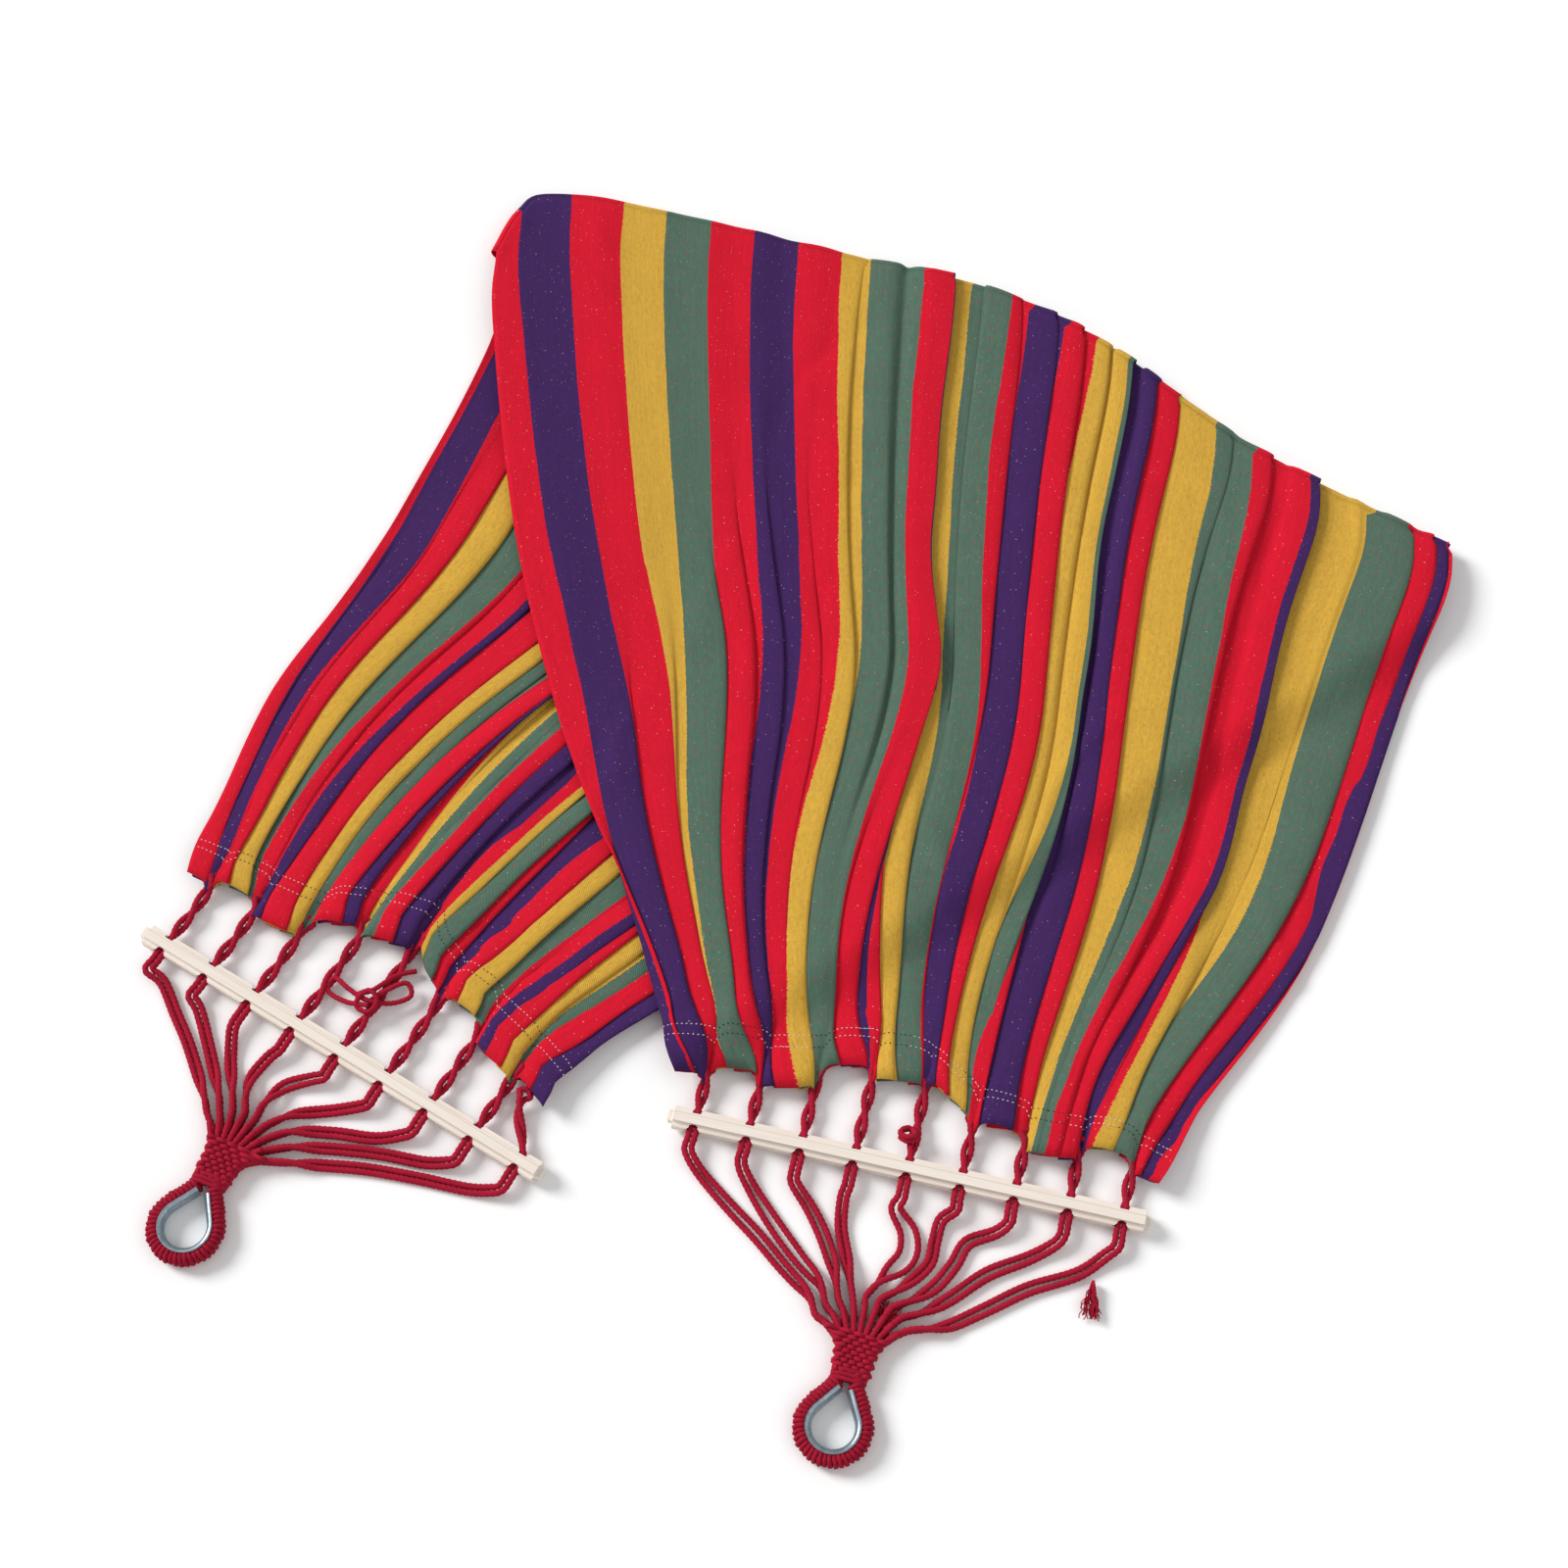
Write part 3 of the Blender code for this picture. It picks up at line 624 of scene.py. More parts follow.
def pair(route, spread, drop_length):
    """The two strands of a doubled cord beside its centre line, from the hole to the neck."""
    lengths = distances(route)
    total = lengths[-1]
    ahead = np.gradient(route, axis=0)
    ahead /= np.linalg.norm(ahead, axis=1)[:, None]
    side = np.stack([-ahead[:, 1], ahead[:, 0]], axis=1)
    stack = 1 - smoothstep((total - lengths - TWIST_TO) / (TWIST_FROM - TWIST_TO))
    half = STRAND_HALF + spread * np.sin(math.pi * lengths / total) ** 2
    rest = LIE + PAIR_HALF * np.sin(stack * math.pi / 2)
    height = BAR_SIDE / 2 + (rest - BAR_SIDE / 2) * smoothstep(lengths / drop_length)
    strands = []
    for sign in (1, -1):
        flat = route + side * (sign * half * np.cos(stack * math.pi / 2))[:, None]
        rise = height + sign * PAIR_HALF * np.sin(stack * math.pi / 2)
        strands.append(np.column_stack([flat, rise]))
    return strands


def fan_path(end, number):
    """One doubled cord: out of the hole, to the neck, a turn inside the neck, and back."""
    hole = end.hole(number)
    middle, spread = end.fan[number - 1]
    radial = heading(end.slot_angle(number))
    slot = end.neck + radial * end.slot_radius
    start = hole + end.out * FAN_START
    corners = [start, start + end.out * 0.009] + middle
    corners += [slot + radial * LEAD_IN, slot]
    one, two = pair(resample(catmull(corners), 120), spread, FAN_DROP)
    inner = slot - radial * 0.010
    turn = [[*(inner - radial * 0.0028), (one[-1][2] + two[-1][2]) / 2]]
    into = [[*inner, one[-1][2]]]
    back = [[*inner, two[-1][2]]]
    root_one = [[*(hole + (Vector(one[0][:2]) - start)), BAR_SIDE / 2]]
    root_two = [[*(hole + (Vector(two[0][:2]) - start)), BAR_SIDE / 2]]
    path = np.concatenate([root_one, one, into, turn, back, two[::-1], root_two])
    return catmull(resample(path, 90), 6)


def hem_path(end, number):
    """One doubled cord from its hole into the hem. Its two strands turn about each other, and
    its loop is inside the hem."""
    hole = end.hole(number)
    reach = end.hem_distance(number)
    down = np.linspace(0, 1, 40)
    length = reach + HEM_BITE
    turn = TWIST_START + 2 * math.pi * length * down / PAIR_LAY
    low = LIE + PAIR_HALF
    fall = smoothstep((length * down - BAR_SIDE / 2) / 0.028)
    height = BAR_SIDE / 2 + (low - BAR_SIDE / 2) * fall * min(1.0, max(0.0, (reach - 0.03) / 0.02))
    height = height + 0.004 * smoothstep((length * down - reach + 0.012) / 0.02)
    lean = end.hem_lean(number) * smoothstep(down / 0.9)
    strands = []
    for sign in (1, -1):
        off = sign * PAIR_HALF * np.cos(turn) + lean
        wide = sign * 0.003 * smoothstep((down - 0.90) / 0.10) * np.sign(math.cos(turn[-1]))
        flat = [hole - end.out * (length * share) + end.along * float(o)
                for share, o in zip(down, off + wide)]
        strands.append([(p.x, p.y, h) for p, h in
                        zip(flat, height + sign * PAIR_HALF * np.sin(turn))])
    tip = hole - end.out * (length + 0.004) + end.along * float(lean[-1])
    return catmull(strands[0] + [(tip.x, tip.y, float(height[-1]))] + strands[1][::-1], 6)


def bend_cloth_to_bar(piece):
    """Bakes the piece's transform into its mesh."""
    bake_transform(piece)


def cord_piece(name, path):
    piece = link(name, rope_mesh(name, path, CORD), COTTON)
    line = resample(path, 160)
    return piece, dict(exit=tuple(map(float, line[0])), length=round(route_length(line), 3),
                       diameter=CORD, far_end="object", stiffness="limp", lay="loose",
                       path=[tuple(map(float, p)) for p in line])


def add_cords(end):
    for number in range(1, HOLE_COUNT + 1):
        piece, facts = cord_piece(f"{end.name}_neck_cord_{number}", fan_path(end, number))
        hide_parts(f"{end.name}_fan_cord_{number}")
        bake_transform(piece)
        piece, facts = cord_piece(f"{end.name}_casing_cord_{number}", hem_path(end, number))
        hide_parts(f"{end.name}_hem_cord_{number}")
        bend_cloth_to_bar(piece)


# Camera and cords come first

def add_camera():
    elevation = math.radians(CAMERA_ELEVATION)
    data = bpy.data.cameras.new("camera")
    data.lens = CAMERA_LENS
    data.sensor_width = 36.0
    camera = bpy.data.objects.new("camera", data)
    bpy.context.collection.objects.link(camera)
    toward = Vector((0, -math.cos(elevation), math.sin(elevation)))
    camera.location = Vector(CAMERA_TARGET) + toward * CAMERA_DISTANCE
    camera.rotation_euler = (math.pi / 2 - elevation, 0, 0)
    bpy.context.scene.camera = camera


add_camera()
for one_end in (FRONT, BACK):
    add_cords(one_end)


# Bars

def hole_cutters():
    """Nine pegs, flared where they leave the bar, that cut its holes."""
    half = BAR_SIDE / 2
    cutters = bmesh.new()
    for number in range(1, HOLE_COUNT + 1):
        x = hole_across(number)
        profile = [(HOLE_RADIUS + 0.0022, half + 0.001), (HOLE_RADIUS + 0.0012, half - 0.0004),
                   (HOLE_RADIUS, half - 0.0022)]
        profile += [(r, -y) for r, y in profile[::-1]]
        turns = np.linspace(0, 2 * math.pi, HOLE_SIDES, endpoint=False)
        rings = []
        for radius, y in profile:
            rings.append([cutters.verts.new((x + radius * math.cos(a), y,
                                             half + radius * math.sin(a))) for a in turns])
        close_tube(cutters, rings)
    bmesh.ops.recalc_face_normals(cutters, faces=cutters.faces[:])
    mesh = bpy.data.meshes.new("holes")
    cutters.to_mesh(mesh)
    cutters.free()
    return link("holes", mesh)


def add_bar(end):
    half = BAR_SIDE / 2
    bm = bmesh.new()
    bmesh.ops.create_cube(bm, size=1.0)
    bmesh.ops.scale(bm, vec=(BAR_LENGTH, BAR_SIDE, BAR_SIDE), verts=bm.verts)
    bmesh.ops.translate(bm, vec=(0, 0, half), verts=bm.verts)
    bmesh.ops.bevel(bm, geom=bm.edges[:], offset=BAR_ROUND, segments=5, affect="EDGES")
    mesh = bpy.data.meshes.new(end.name + "_bar")
    bm.to_mesh(mesh)
    bm.free()
    bar = link(end.name + "_wooden_bar", mesh, WOOD)
    cutter = hole_cutters()
    holes = bar.modifiers.new("holes", "BOOLEAN")
    holes.object = cutter
    holes.solver = "EXACT"
    done = bpy.data.meshes.new_from_object(
        bar.evaluated_get(bpy.context.evaluated_depsgraph_get()))
    bar.modifiers.clear()
    bar.data = done
    bpy.data.objects.remove(cutter)
    layer = done.uv_layers.new(name="grain")
    for loop in done.loops:
        spot = done.vertices[loop.vertex_index].co
        layer.data[loop.index].uv = (spot.x, spot.y + 0.4 * (spot.z - half))
    done.shade_smooth()
    done.set_sharp_from_angle(angle=math.radians(32))
    bar.location = (*end.centre, 0.0)
    bar.rotation_euler = (0, 0, math.radians(end.angle))
    bpy.context.view_layer.update()
    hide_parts(end.name + "_spreader_bar")
    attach(bar, end.bar_body)


# Necks and eyes

def teardrop(inset, steps, start_shift=0.0):
    """Points and outward normals round the eye: a leg, the round end and the other leg."""
    across, down = EYE_LEG_HALF, EYE_LEG_START
    back = math.atan2(down - EYE_CENTRE, across)
    touch = back + math.acos(EYE_RADIUS / math.hypot(across, down - EYE_CENTRE))
    outward = np.array([math.cos(touch), math.sin(touch)])
    corner = np.array([0, EYE_CENTRE]) + EYE_RADIUS * outward
    start = np.array([across, down])
    leg = (corner - start) / np.linalg.norm(corner - start)
    right = [(start + leg * start_shift) * (1 - s) + corner * s for s in np.linspace(0, 1, 9)[:-1]]
    points = [(p, outward) for p in right]
    for turn in np.linspace(touch, math.pi - touch, steps):
        normal = np.array([math.cos(turn), math.sin(turn)])
        points.append((np.array([0, EYE_CENTRE]) + normal * EYE_RADIUS, normal))
    flip = np.array([-1.0, 1.0])
    points += [(p * flip, outward * flip) for p in right[::-1]]
    return [(p - normal * inset, normal) for p, normal in points]


def add_eye(end):
    centre = [p for p, _ in teardrop(0, 60)]
    centre = [np.array([EYE_LEG_HALF, -0.002])] + centre + [np.array([-EYE_LEG_HALF, -0.002])]
    core = np.array([end.local(p[0], p[1], EYE_HEIGHT) for p in centre])
    core = resample(core, 900)
    along = distances(core)
    _, one, two = frames_along(core)
    wobble = 0.00035 * np.sin(along * 310) + 0.00025 * np.sin(along * 870 + 1)
    dense = np.linspace(0, along[-1], 2600)
    turn = 2 * math.pi * dense / WINDING_PITCH
    place, n_one, n_two = (read_rows(dense, along, rows) for rows in (core, one, two))
    radius = WINDING_RADIUS + np.interp(dense, along, wobble)
    helix = (place + n_one * (radius * np.cos(turn))[:, None]
             + n_two * (radius * np.sin(turn))[:, None])
    mesh = rope_mesh("winding", helix, WINDING_CORD, lay=3.0, sides=10, step=0.0015)
    winding = join(end.name + "_eye_wound_cord", [mesh], WINDING)
    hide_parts(end.name + "_eye_winding")
    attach(winding, end.eye_body)
    mesh = rope_mesh("core", core, CORE_CORD, step=0.003)
    inner = join(end.name + "_eye_rope_core", [mesh], WINDING)
    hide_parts(end.name + "_eye_core")
    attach(inner, end.eye_body)


def add_thimble(end):
    profile = []
    for turn in np.linspace(-0.5, 0.5, 15):
        angle = turn * math.radians(196)
        profile.append((0.0078 - 0.0082 * math.cos(angle), 0.0081 * math.sin(angle)))
    outer = [(x - 0.0001, z) for x, z in profile]
    inner = [(x + 0.0011 * (1 if abs(z) < 0.006 else 0.8), z * 0.86) for x, z in profile[::-1]]
    shape = [(x * 0.62 - 0.0004, z) for x, z in outer + inner]
    path = teardrop(THIMBLE_INSET, 56, 0.0035)
    verts = []
    for point, normal in path:
        verts.append([end.local(*(point + normal * x), EYE_HEIGHT + z) for x, z in shape])
    verts = np.array([[list(v) for v in row] for row in verts])
    mesh = grid_mesh("thimble", verts, len(path), len(shape), closed=True, caps=True)
    bm = bmesh.new()
    bm.from_mesh(mesh)
    bmesh.ops.recalc_face_normals(bm, faces=bm.faces[:])
    bm.to_mesh(mesh)
    bm.free()
    mesh.shade_smooth()
    mesh.set_sharp_from_angle(angle=math.radians(40))
    piece = link(end.name + "_steel_thimble", mesh, STEEL)
    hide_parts(end.name + "_thimble")
    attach(piece, end.eye_body)


def rows_meet(warp, end, rise):
    """Where a warp crosses a straight row of weft, at a height above the waist."""
    heights = (warp - np.array(end.waist)) @ -np.array(end.eye)
    order = np.argsort(heights)
    return [float(np.interp(rise, heights[order], warp[order, k])) for k in range(2)]


def add_neck(end):
    """Two layers of warps from the cords to the waist, and one weft woven through them."""
    warps, meshes = [], []
    for number in range(1, HOLE_COUNT + 1):
        radial = heading(end.slot_angle(number))
        slot = end.neck + radial * (end.slot_radius - 0.001)
        share = (number - 1) / (HOLE_COUNT - 1) * 2 - 1
        sign = 1 if (end.side.dot(heading(end.slot_first) - heading(end.slot_last)) < 0) else -1
        goal = end.waist + end.side * (WARP_HALF * share * sign) + end.eye * 0.004
        bend = end.neck + (goal - end.neck) * 0.25 + radial * 0.016
        flat = catmull([slot, bend, goal], 20)
        warps.append(flat)
        for height in WARP_HEIGHTS:
            rise = np.linspace(height, EYE_HEIGHT + (height - 0.0084) * 0.9, len(flat))
            line = np.column_stack([flat, rise])
            meshes.append(rope_mesh("warp", line, WARP_CORD, sides=10, step=0.002))
    weft = []
    for index in range(WEFT_ROWS):
        rise = WEFT_FIRST + WEFT_PITCH * index
        order = range(HOLE_COUNT) if index % 2 == 0 else range(HOLE_COUNT - 1, -1, -1)
        row = [rows_meet(warps[warp], end, rise) for warp in order]
        for warp, spot in zip(order, row):
            over = (warp + index) % 2 == 0
            weft.append((*spot, WEFT_OVER if over else WEFT_UNDER))
        push = (Vector(row[-1]) - Vector(row[0])).normalized() * WEFT_PAST
        turn = Vector(row[-1]) + push - end.eye * (WEFT_PITCH / 2)
        weft.append((turn.x, turn.y, WEFT_TURN))
    meshes.append(rope_mesh("weft", catmull(weft, 8), WEFT_CORD, sides=10, step=0.0018))
    neck = join(end.name + "_woven_neck", meshes, COTTON)
    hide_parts(end.name + "_neck")
    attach(neck, end.eye_body)


def add_lashing(end):
    """The flat turns of cord round the waist."""
    coil = []
    for value in np.linspace(0, LASH_TURNS, 120):
        angle = 2 * math.pi * value
        across = LASH_HALF * np.sign(math.cos(angle)) * abs(math.cos(angle)) ** 0.7
        rise = LASH_RISE * np.sign(math.sin(angle)) * abs(math.sin(angle)) ** 0.9
        coil.append(end.local(across, -0.005 + LASH_PITCH * value, 0.0088 + rise))
    lash = join(end.name + "_lashing",
                [rope_mesh("lash", np.array(coil), LASH_CORD, sides=10)], WINDING)
    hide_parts(end.name + "_neck_lashing")
    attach(lash, end.eye_body)


for one_end in (FRONT, BACK):
    add_bar(one_end)
    add_eye(one_end)
    add_thimble(one_end)
    add_neck(one_end)
    add_lashing(one_end)


# Knots and tassel

def add_tie_knot():
    out = FRONT.along
    spot = Vector((0.084, -0.366)) - ORIGIN
    loop = [(*(spot + (out * x + FRONT.out * y) * KNOT_SNUG), z) for x, y, z in
            [(-0.012, 0.004, 0.012), (0.0, 0.010, 0.016), (0.012, 0.004, 0.015),
             (0.010, -0.008, 0.012), (-0.004, -0.010, 0.015), (-0.012, 0.0, 0.018),
             (-0.002, 0.006, 0.020), (0.010, 0.0, 0.019), (0.004, -0.010, 0.014),
             (-0.008, -0.008, 0.012)]]
    knot = join("front_hem_knot", [rope_mesh("knot", catmull(loop, 10), KNOT_CORD, sides=12)],
                COTTON)
    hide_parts("front_tie_knot")
    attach(knot, "front_bar")


def add_bow():
    spot = Vector((-0.420, -0.238)) - ORIGIN
    bows = []
    for points in (
            [(0.0, 0.0, 0.013), (0.018, 0.012, 0.015), (0.036, 0.020, 0.012),
             (0.040, 0.008, 0.009), (0.022, 0.000, 0.012), (0.0, 0.002, 0.016),
             (-0.018, 0.014, 0.014), (-0.032, 0.026, 0.010), (-0.038, 0.014, 0.008),
             (-0.020, 0.002, 0.011), (0.002, -0.004, 0.018)],
            [(-0.008, 0.008, 0.016), (0.004, 0.010, 0.020), (0.010, 0.000, 0.018),
             (0.002, -0.009, 0.015), (-0.009, -0.004, 0.014), (-0.006, 0.006, 0.019),
             (0.006, 0.012, 0.016), (0.026, 0.028, 0.010), (0.044, 0.034, 0.006)]):
        line = [(spot.x + x, spot.y + y, z) for x, y, z in points]
        bows.append(rope_mesh("bow", catmull(line, 10), BOW_CORD, sides=12))
    bow = join("back_hem_bow", bows, COTTON)
    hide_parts("back_bow_knot")
    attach(bow, "back_bar")


def add_tuft(name, root, ahead, length, width, count, body, seed, replaced=()):
    """A frayed cord end: a bundle of thin crimped fibres."""
    chance = random.Random(seed)
    ahead = Vector(ahead).normalized()
    side = Vector((-ahead.y, ahead.x, 0))
    drop = Vector((*ORIGIN, 0))
    meshes = []
    for _ in range(count):
        fan = chance.uniform(-1, 1)
        rise = chance.uniform(0, 1)
        crimp = chance.uniform(0, 6.28)
        reach = length * chance.uniform(0.75, 1.05)
        line = []
        for share in np.linspace(0, 1, 14):
            swing = width * fan * share + 0.0011 * math.sin(share * 17 + crimp)
            lift = 0.0035 + 0.006 * rise * (1 - 0.4 * share) + 0.0006 * math.sin(share * 21 + crimp)
            spot = Vector(root) - drop + ahead * (reach * share) + side * swing
            line.append((spot.x, spot.y, lift))
        meshes.append(rope_mesh("fibre", np.array(line), 0.0011, sides=5, step=0.0022))
    piece = join(name, meshes, COTTON)
    if replaced:
        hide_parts(*replaced)
    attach(piece, body)


add_tie_knot()
add_bow()
add_tuft("front_tassel", (0.249, -0.500, 0), (-0.15, -1, 0), 0.034, 0.010, 46, "front_eye", 3,
         ("front_frayed_tassel",))
add_tuft("front_neck_tuft", (0.058, -0.548, 0), (0.3, 1, 0), 0.030, 0.011, 40, "front_eye", 5)


# Cloth

def sampler(points):
    """Reads the curve through some points at shares of its length."""
    curve = resample(catmull(points), 400)
    base = np.linspace(0, 1, len(curve))
    return lambda q: read_rows(q, base, curve)


def coons(hem, left, right):
    """A patch between four edges: the hem to the fold, and the left side to the right."""
    left = [hem[0]] + left + [FOLD_EDGE[0]]
    right = [hem[-1]] + right + [FOLD_EDGE[-1]]
    low, high, west, east = (sampler(drawn(c)) for c in (hem, FOLD_EDGE, left, right))
    corner = {(x, y): (high if y else low)(np.array(float(x))) for x in (0, 1) for y in (0, 1)}

    def at_point(q, t):
        q3, t3 = q[..., None], t[..., None]
        ruled = (1 - t3) * low(q) + t3 * high(q) + (1 - q3) * west(t) + q3 * east(t)
        flat = ((1 - q3) * (1 - t3) * corner[0, 0] + q3 * (1 - t3) * corner[1, 0]
                + (1 - q3) * t3 * corner[0, 1] + q3 * t3 * corner[1, 1])
        return ruled - flat
    return at_point


def pleat_rise(p):
    """A pleat's height over its width: up at once, over the top, then back under itself."""
    return np.interp(p, [0, 0.03, 0.10, 0.30, 0.45, 0.62, 0.80, 1.0],
                     [0, 0.66, 0.95, 1.0, 0.50, 0.08, 0.01, 0.0])


def rough_wave(a, t, seed, count=7, low=6.0, high=30.0):
    """A smooth seeded ripple between -1 and 1."""
    chance = np.random.default_rng(int(seed))
    total = np.zeros_like(a)
    for _ in range(count):
        across, down = chance.uniform(low, high), chance.uniform(0.6, 3.2)
        phase, turn = chance.uniform(0, 6.28, 2)
        total += np.sin(across * a * 2 * math.pi / 1.5 + down * t * 2.0 + phase
                        + 0.7 * np.sin(3 * t + turn))
    return total / count * 1.6


def side_of(points, spot):
    """How far a place is beyond a line of points, positive on its right-hand side."""
    start, stop = (np.array(points[k], float) for k in (0, 1))
    along = (stop - start) / np.linalg.norm(stop - start)
    return (spot[..., 0] - start[0]) * along[1] - (spot[..., 1] - start[1]) * along[0]


def row_lengths(patch, down):
    """The length of each row of a patch, in metres."""
    q = np.linspace(0, 1, 300)
    rows = [patch(q, np.full_like(q, t)) for t in down]
    return np.array([np.linalg.norm(np.diff(row, axis=0), axis=1).sum() for row in rows])


def gather_hem(end, flat, z, down):
    """The nine cords draw the hem out into bunched points, and between them it falls back."""
    offset = flat - np.array(end.centre)
    along, out = np.array(end.along), np.array(end.out)
    number = offset @ along / HOLE_PITCH
    nearest = np.clip(np.round(number), -(HOLE_COUNT // 2), HOLE_COUNT // 2)
    beside = np.clip(number - nearest, -1, 1)
    near = np.exp(-(down / 0.042) ** 2)
    wide = np.exp(-(down / 0.085) ** 2)
    point = np.exp(-(np.abs(beside) / 0.16) ** 1.6)
    gap = np.clip(np.floor(number), -len(LOBES) // 2, len(LOBES) // 2 - 1).astype(int)
    uneven = np.array(LOBES)[gap + len(LOBES) // 2]
    back = SCALLOP * uneven * (1 - point) * near - TAB * np.exp(-(beside / 0.11) ** 2) * near
    squeeze = -HOLE_PITCH * PINCH * np.sin(2 * math.pi * beside) / (2 * math.pi) * wide
    flat = flat - back[..., None] * out + squeeze[..., None] * along
    bulge = BULGE * (1.3 - 0.6 * uneven) * (1 - point) * np.exp(-((down - 0.018) / 0.026) ** 2)
    ridge = 0.0022 * np.abs(np.sin(math.pi * beside * 5)) * wide * (1 - 0.5 * near)
    narrow = 1 - 0.35 * point * near
    return flat, z * narrow + bulge + ridge


def creases(flat, t, seed):
    """Short soft creases scattered over one half of the cloth."""
    chance = np.random.default_rng(int(seed))
    low, high = flat.reshape(-1, 2).min(axis=0), flat.reshape(-1, 2).max(axis=0)
    total = np.zeros(flat.shape[:-1])
    for _ in range(CREASE_COUNT):
        spot = chance.uniform(low, high)
        turn = math.radians(chance.choice([-62, 48, 100, 80]) + chance.uniform(-14, 14))
        length, width = chance.uniform(0.030, 0.085), chance.uniform(0.006, 0.014)
        tall = chance.uniform(-0.0016, 0.0030)
        off = flat - spot
        run = off[..., 0] * math.cos(turn) + off[..., 1] * math.sin(turn)
        aside = -off[..., 0] * math.sin(turn) + off[..., 1] * math.cos(turn)
        aside = aside + 0.9 * run * run / (length * 4)
        total += tall * np.exp(-(aside / width) ** 2 - (run / length) ** 2)
    return total * smoothstep((1 - t) / 0.05)


def layer(end, patch, a, t, pleats, base, heights, seed):
    """Places on one half of the cloth: a is the width across in metres, t runs hem to fold.
    The cloth that the row has no room for goes into its small folds, each of which runs
    forward, back under itself and forward again."""
    lie_a, lie_q = np.array(FOLD_LIE).T
    reach = row_lengths(patch, t[:, 0])[:, None]
    spread = smoothstep((t - 0.03) / 0.50)
    lie = np.interp(a, lie_a, lie_q)
    q = (1 - spread) * a / CLOTH_WIDTH + spread * lie
    room = np.clip(np.gradient(q, a[0], axis=1) * reach, 0.02, 1.0)
    room = np.stack([smoothed(row, 30) for row in room])
    z = np.zeros_like(a)
    clear = np.ones_like(a)
    for first, last, over, height, kink in pleats:
        p = np.clip((a - first) / (last - first), 0, 1)
        swell = np.exp(-((t - kink) / 0.060) ** 2)
        sink = np.exp(-((t - kink - 0.14) / 0.07) ** 2)
        strength = (0.25 + 0.75 * spread) * (
            1 + 0.22 * swell - 0.30 * sink + 0.08 * np.sin(17 * t + 9 * first))
        q = q + over * strength * np.sin(2 * math.pi * p) / reach
        z += height * strength * pleat_rise(p)
        clear *= 1 - spread * smoothstep((a - first + 0.02) / 0.02) * smoothstep(
            (last + 0.02 - a) / 0.02)
    phase = 2 * math.pi * FOLDS * a / CLOTH_WIDTH + 1.1 * np.sin(a * 21 + seed) + 0.6 * np.sin(
        a * 47 + 2 * seed)
    phase = phase + 0.9 * np.sin(t * 5 + a * 9 + seed) * spread
    fold = CLOTH_WIDTH / FOLDS
    pitch = room * fold
    doubled = np.clip(0.159 + (0.94 / room - 1) / 3.4, 0.0, 0.78)
    doubled = np.where(room > 0.90, 0.0, doubled) * smoothstep((0.93 - room) / 0.16) * clear
    down = t * HALF_LENGTH
    tight, loose = heights
    gather = np.exp(-(np.maximum(down - 0.012, 0) / 0.10) ** 1.3)
    size = 0.78 + 0.22 * np.sin(a * 33 + seed)
    tall = (loose + (tight - loose) * gather) * size * smoothstep(doubled / 0.30)
    q = q + pitch * doubled * np.sin(phase) / reach
    z += tall * (0.5 + 0.5 * np.cos(phase - math.radians(60)))
    z += 0.0016 * (1 + rough_wave(a, t, seed)) * clear
    z += 0.0008 * rough_wave(a, t * 6, seed + 9, 6, 3.0, 12.0)
    flat = patch(np.clip(q, 0, 1), t)
    z = z + creases(flat, t, seed + 20) + 0.0012
    flat, z = gather_hem(end, flat, z, down)
    z = PILE_LIMIT * np.tanh(np.maximum(z, 0.0) / PILE_LIMIT)
    return flat, z + base(flat, t)


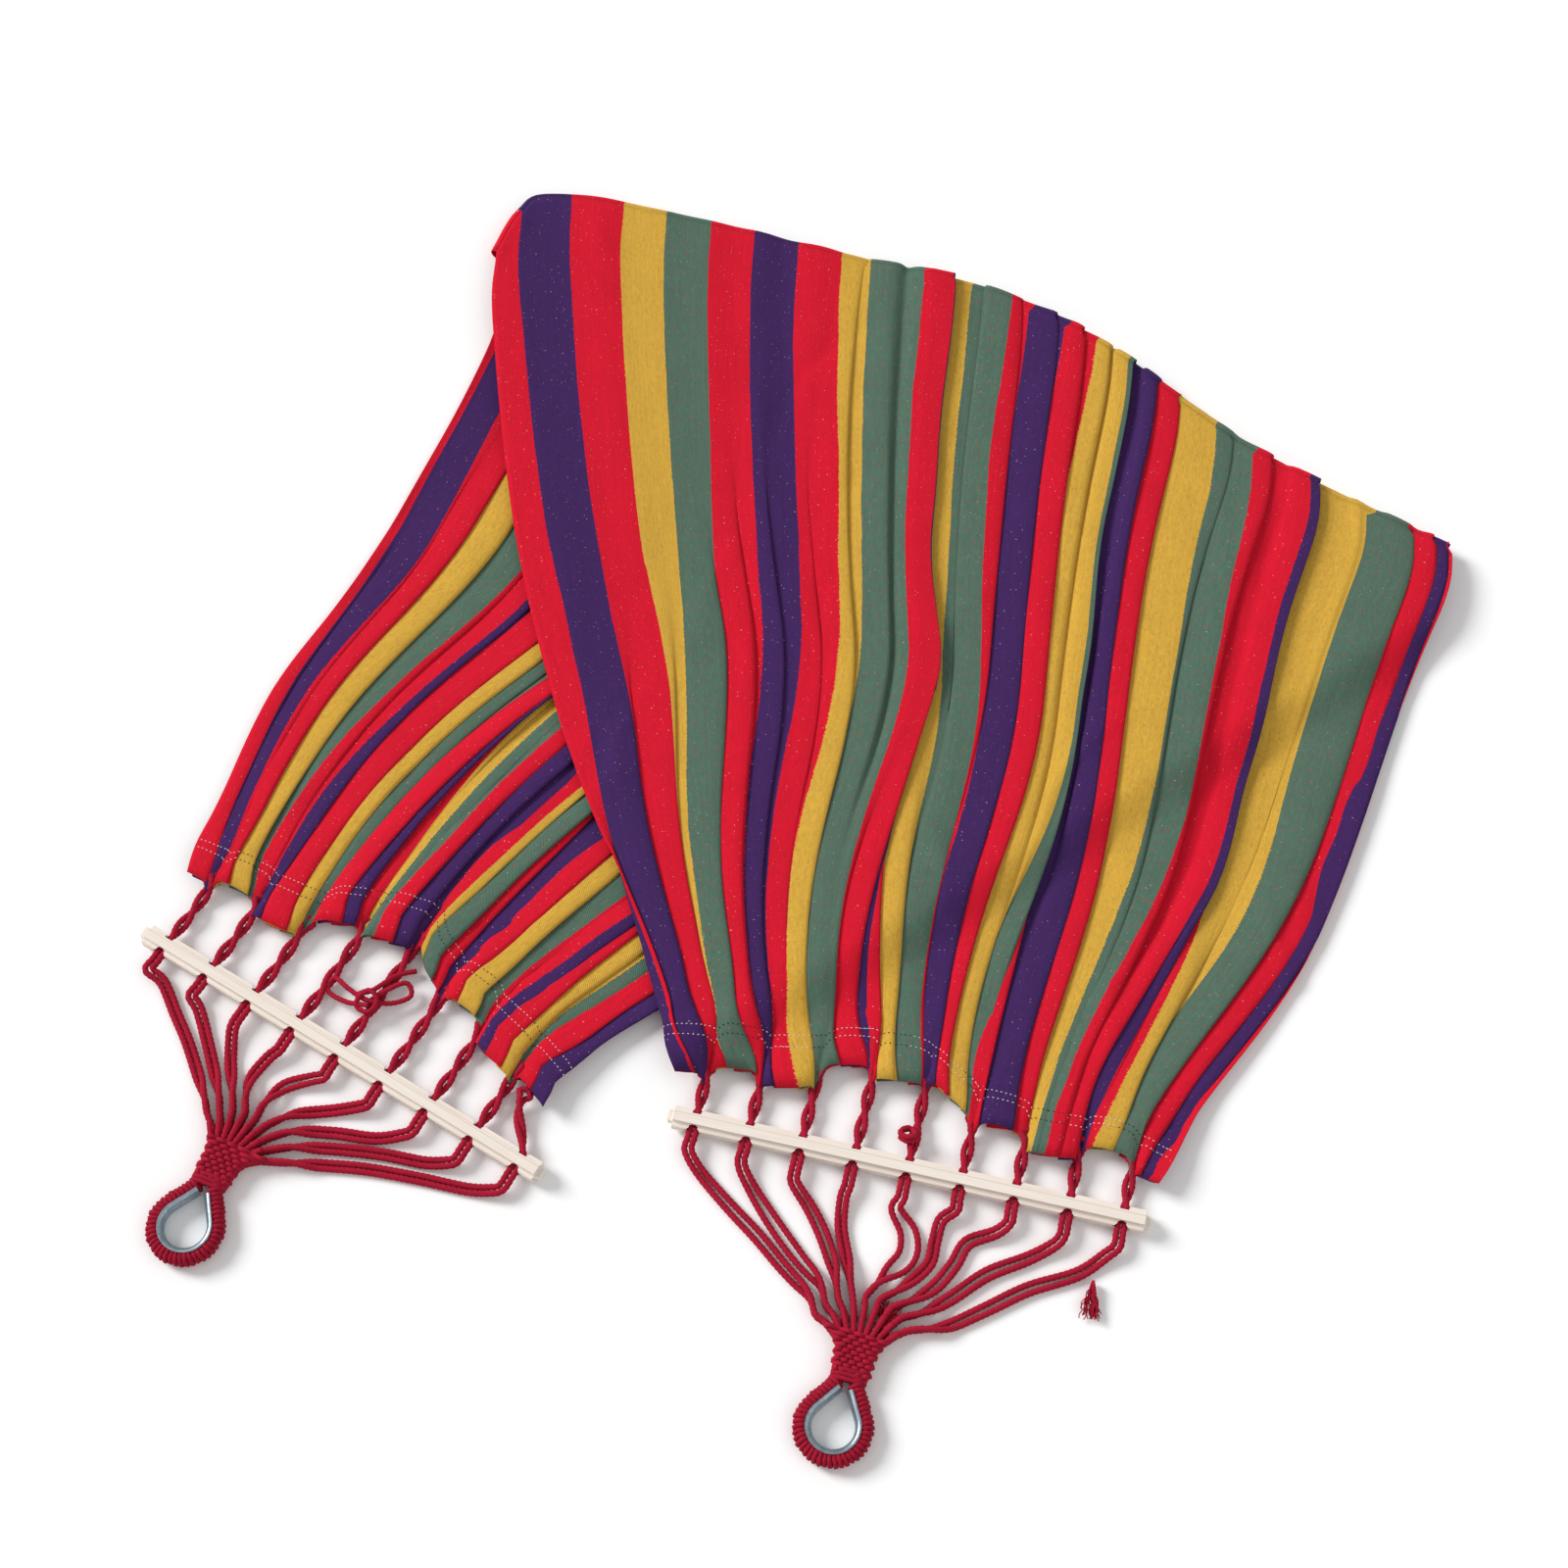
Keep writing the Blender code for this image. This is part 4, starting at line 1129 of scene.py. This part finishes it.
def build_cloth():
    across = np.linspace(0, CLOTH_WIDTH, COLUMNS)
    down = np.linspace(0, 1, ROWS) ** 0.92
    a, t = np.meshgrid(across, down, indexing="xy")
    front_patch = coons(FRONT_HEM, FRONT_LEFT, FRONT_RIGHT)
    back_patch = coons(BACK_HEM, BACK_LEFT, BACK_RIGHT)

    def front_base(flat, t):
        # the front half is held up by the back half, and comes down to the ground beyond it
        past = side_of(drawn([BACK_HEM[-1], BACK_RIGHT[-1]]), flat)
        return LOW_LAYER + (HIGH_LAYER - LOW_LAYER) * (1 - smoothstep((past - 0.012) / 0.05)
                                                       * (1 - smoothstep((t - 0.86) / 0.12)))

    def back_base(flat, t):
        return np.full(flat.shape[:-1], LOW_LAYER)

    flat, z = layer(FRONT, front_patch, a, t, FRONT_PLEATS, front_base,
                    FRONT_FOLD_HEIGHTS, 1)
    front = np.concatenate([flat, z[..., None]], axis=-1)
    flat, z = layer(BACK, back_patch, a, t, BACK_PLEATS, back_base,
                    BACK_FOLD_HEIGHTS, 4)
    z = np.where(t > 0.45, np.minimum(z, BACK_LIMIT), z)
    back = np.concatenate([flat, z[..., None]], axis=-1)
    uv = np.stack([a, t * HALF_LENGTH], axis=-1)
    top, low = front[-1], back[-1]
    top_flat = (top[:, :2] + low[:, :2]) / 2
    front[-1, :, :2] = top_flat
    back[-1, :, :2] = top_flat
    tangent = np.gradient(top_flat, axis=0)
    outward = np.stack([-tangent[:, 1], tangent[:, 0]], axis=1)
    outward = np.stack([smoothed(outward[:, k], 20) for k in range(2)], axis=1)
    outward /= np.linalg.norm(outward, axis=1)[:, None]
    strip = []
    for angle in np.linspace(0, math.pi, STRIP_ROWS):
        half = (front[-1, :, 2] - back[-1, :, 2]) / 2
        mid = (front[-1, :, 2] + back[-1, :, 2]) / 2
        push = np.minimum(half, 0.008) * math.sin(angle)
        strip.append(np.concatenate([top_flat + outward * push[:, None],
                                     (mid - half * math.cos(angle))[:, None]], axis=1))
    strip = np.array(strip)
    share = np.linspace(0, 1, STRIP_ROWS)[:, None] * np.ones((1, COLUMNS))
    strip_uv = np.stack([np.broadcast_to(across, share.shape),
                         HALF_LENGTH + share * STRIP_LENGTH], axis=-1)
    return front, back, strip, uv, strip_uv


def cloth_piece(name, verts, uv, up):
    mesh = grid_mesh(name, verts, verts.shape[0], verts.shape[1], uv=uv, uv_name="weave")
    if not up:
        mesh.flip_normals()
    piece = link(name, mesh, CANVAS)
    thick = piece.modifiers.new("thickness", "SOLIDIFY")
    thick.thickness = CLOTH_THICK
    thick.offset = 0.0
    return piece


def add_stitches(end, verts, depths):
    """Two rows of short stitches across the hem, on the cloth's upper face."""
    name = end.name + "_hem_stitching"
    lines = [verts[int(np.argmin(np.abs(depths - row)))] for row in STITCH_ROWS]
    dark, pale = [], []
    for line in lines:
        fine = resample(line, 2200)
        for start in range(4, len(fine) - 6, 6):
            a = start / len(fine) * CLOTH_WIDTH
            local = ((a - EDGE_STRIPE) % STRIPE_REPEAT) / STRIPE_REPEAT
            group = dark if STRIPE_STARTS[2] < local < STRIPE_STARTS[4] else pale
            group.append(fine[start:start + 4])
    for label, group, look in (("dark", dark, DARK_THREAD), ("pale", pale, PALE_THREAD)):
        bm = bmesh.new()
        for stitch in group:
            ahead = stitch[-1] - stitch[0]
            size = np.linalg.norm(ahead)
            if size < 1e-5:
                continue
            ahead = ahead / size
            side = np.cross(ahead, [0, 0, 1.0])
            side /= np.linalg.norm(side) + 1e-9
            lift = np.cross(side, ahead)
            rings = []
            for spot, thin, rise in ((stitch[0], 0.2, 0.0004), (stitch[1], 1.0, 0.0010),
                                     (stitch[2], 1.0, 0.0010), (stitch[3], 0.2, 0.0004)):
                centre = spot + lift * rise
                rings.append([bm.verts.new(centre + (side * math.cos(k) + lift * math.sin(k))
                                           * STITCH_RADIUS * thin)
                              for k in np.linspace(0, 2 * math.pi, 5, endpoint=False)])
            close_tube(bm, rings)
        bmesh.ops.recalc_face_normals(bm, faces=bm.faces[:])
        mesh = bpy.data.meshes.new(name)
        bm.to_mesh(mesh)
        bm.free()
        mesh.shade_smooth()
        piece = link(f"{name}_{label}", mesh, look)
        bend_cloth_to_bar(piece)


def add_cloth():
    front, back, strip, uv, strip_uv = build_cloth()
    sheets = []
    for end, verts, up in ((FRONT, front, False), (BACK, back, True)):
        piece = cloth_piece(end.name + "_cloth_panel", verts, uv, up)
        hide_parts(end.name + "_cloth", end.name + "_hem")
        bend_cloth_to_bar(piece)
        sheets.append(piece)
        add_stitches(end, verts, uv[:, 0, 1])
    bend = cloth_piece("fold_cloth_strip", strip, strip_uv, True)
    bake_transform(bend)
    return *sheets, bend


front_sheet, back_sheet, bend = add_cloth()


# Stage

def add_stage():
    bpy.ops.mesh.primitive_plane_add(size=FLOOR_SIZE, location=(0, 0, -FLOOR_DROP))
    floor = bpy.context.object
    floor.name = "floor"
    floor.data.materials.append(Nodes("white_paper", 0.9).colour(grey(FLOOR_WHITE)))
    world = bpy.data.worlds.new("studio")
    bpy.context.scene.world = world
    world.use_nodes = True
    background = world.node_tree.nodes["Background"]
    background.inputs[0].default_value = (1.0, 1.0, 1.0, 1.0)
    background.inputs[1].default_value = WORLD_LIGHT
    for place, strength, softness in LAMPS:
        data = bpy.data.lights.new("soft_sun", "SUN")
        data.energy = strength
        data.angle = math.radians(softness)
        lamp = bpy.data.objects.new("soft_sun", data)
        bpy.context.collection.objects.link(lamp)
        lamp.location = place
        lamp.rotation_euler = (-Vector(place)).to_track_quat("-Z", "Y").to_euler()
    bpy.context.scene.view_settings.view_transform = "Standard"


add_stage()
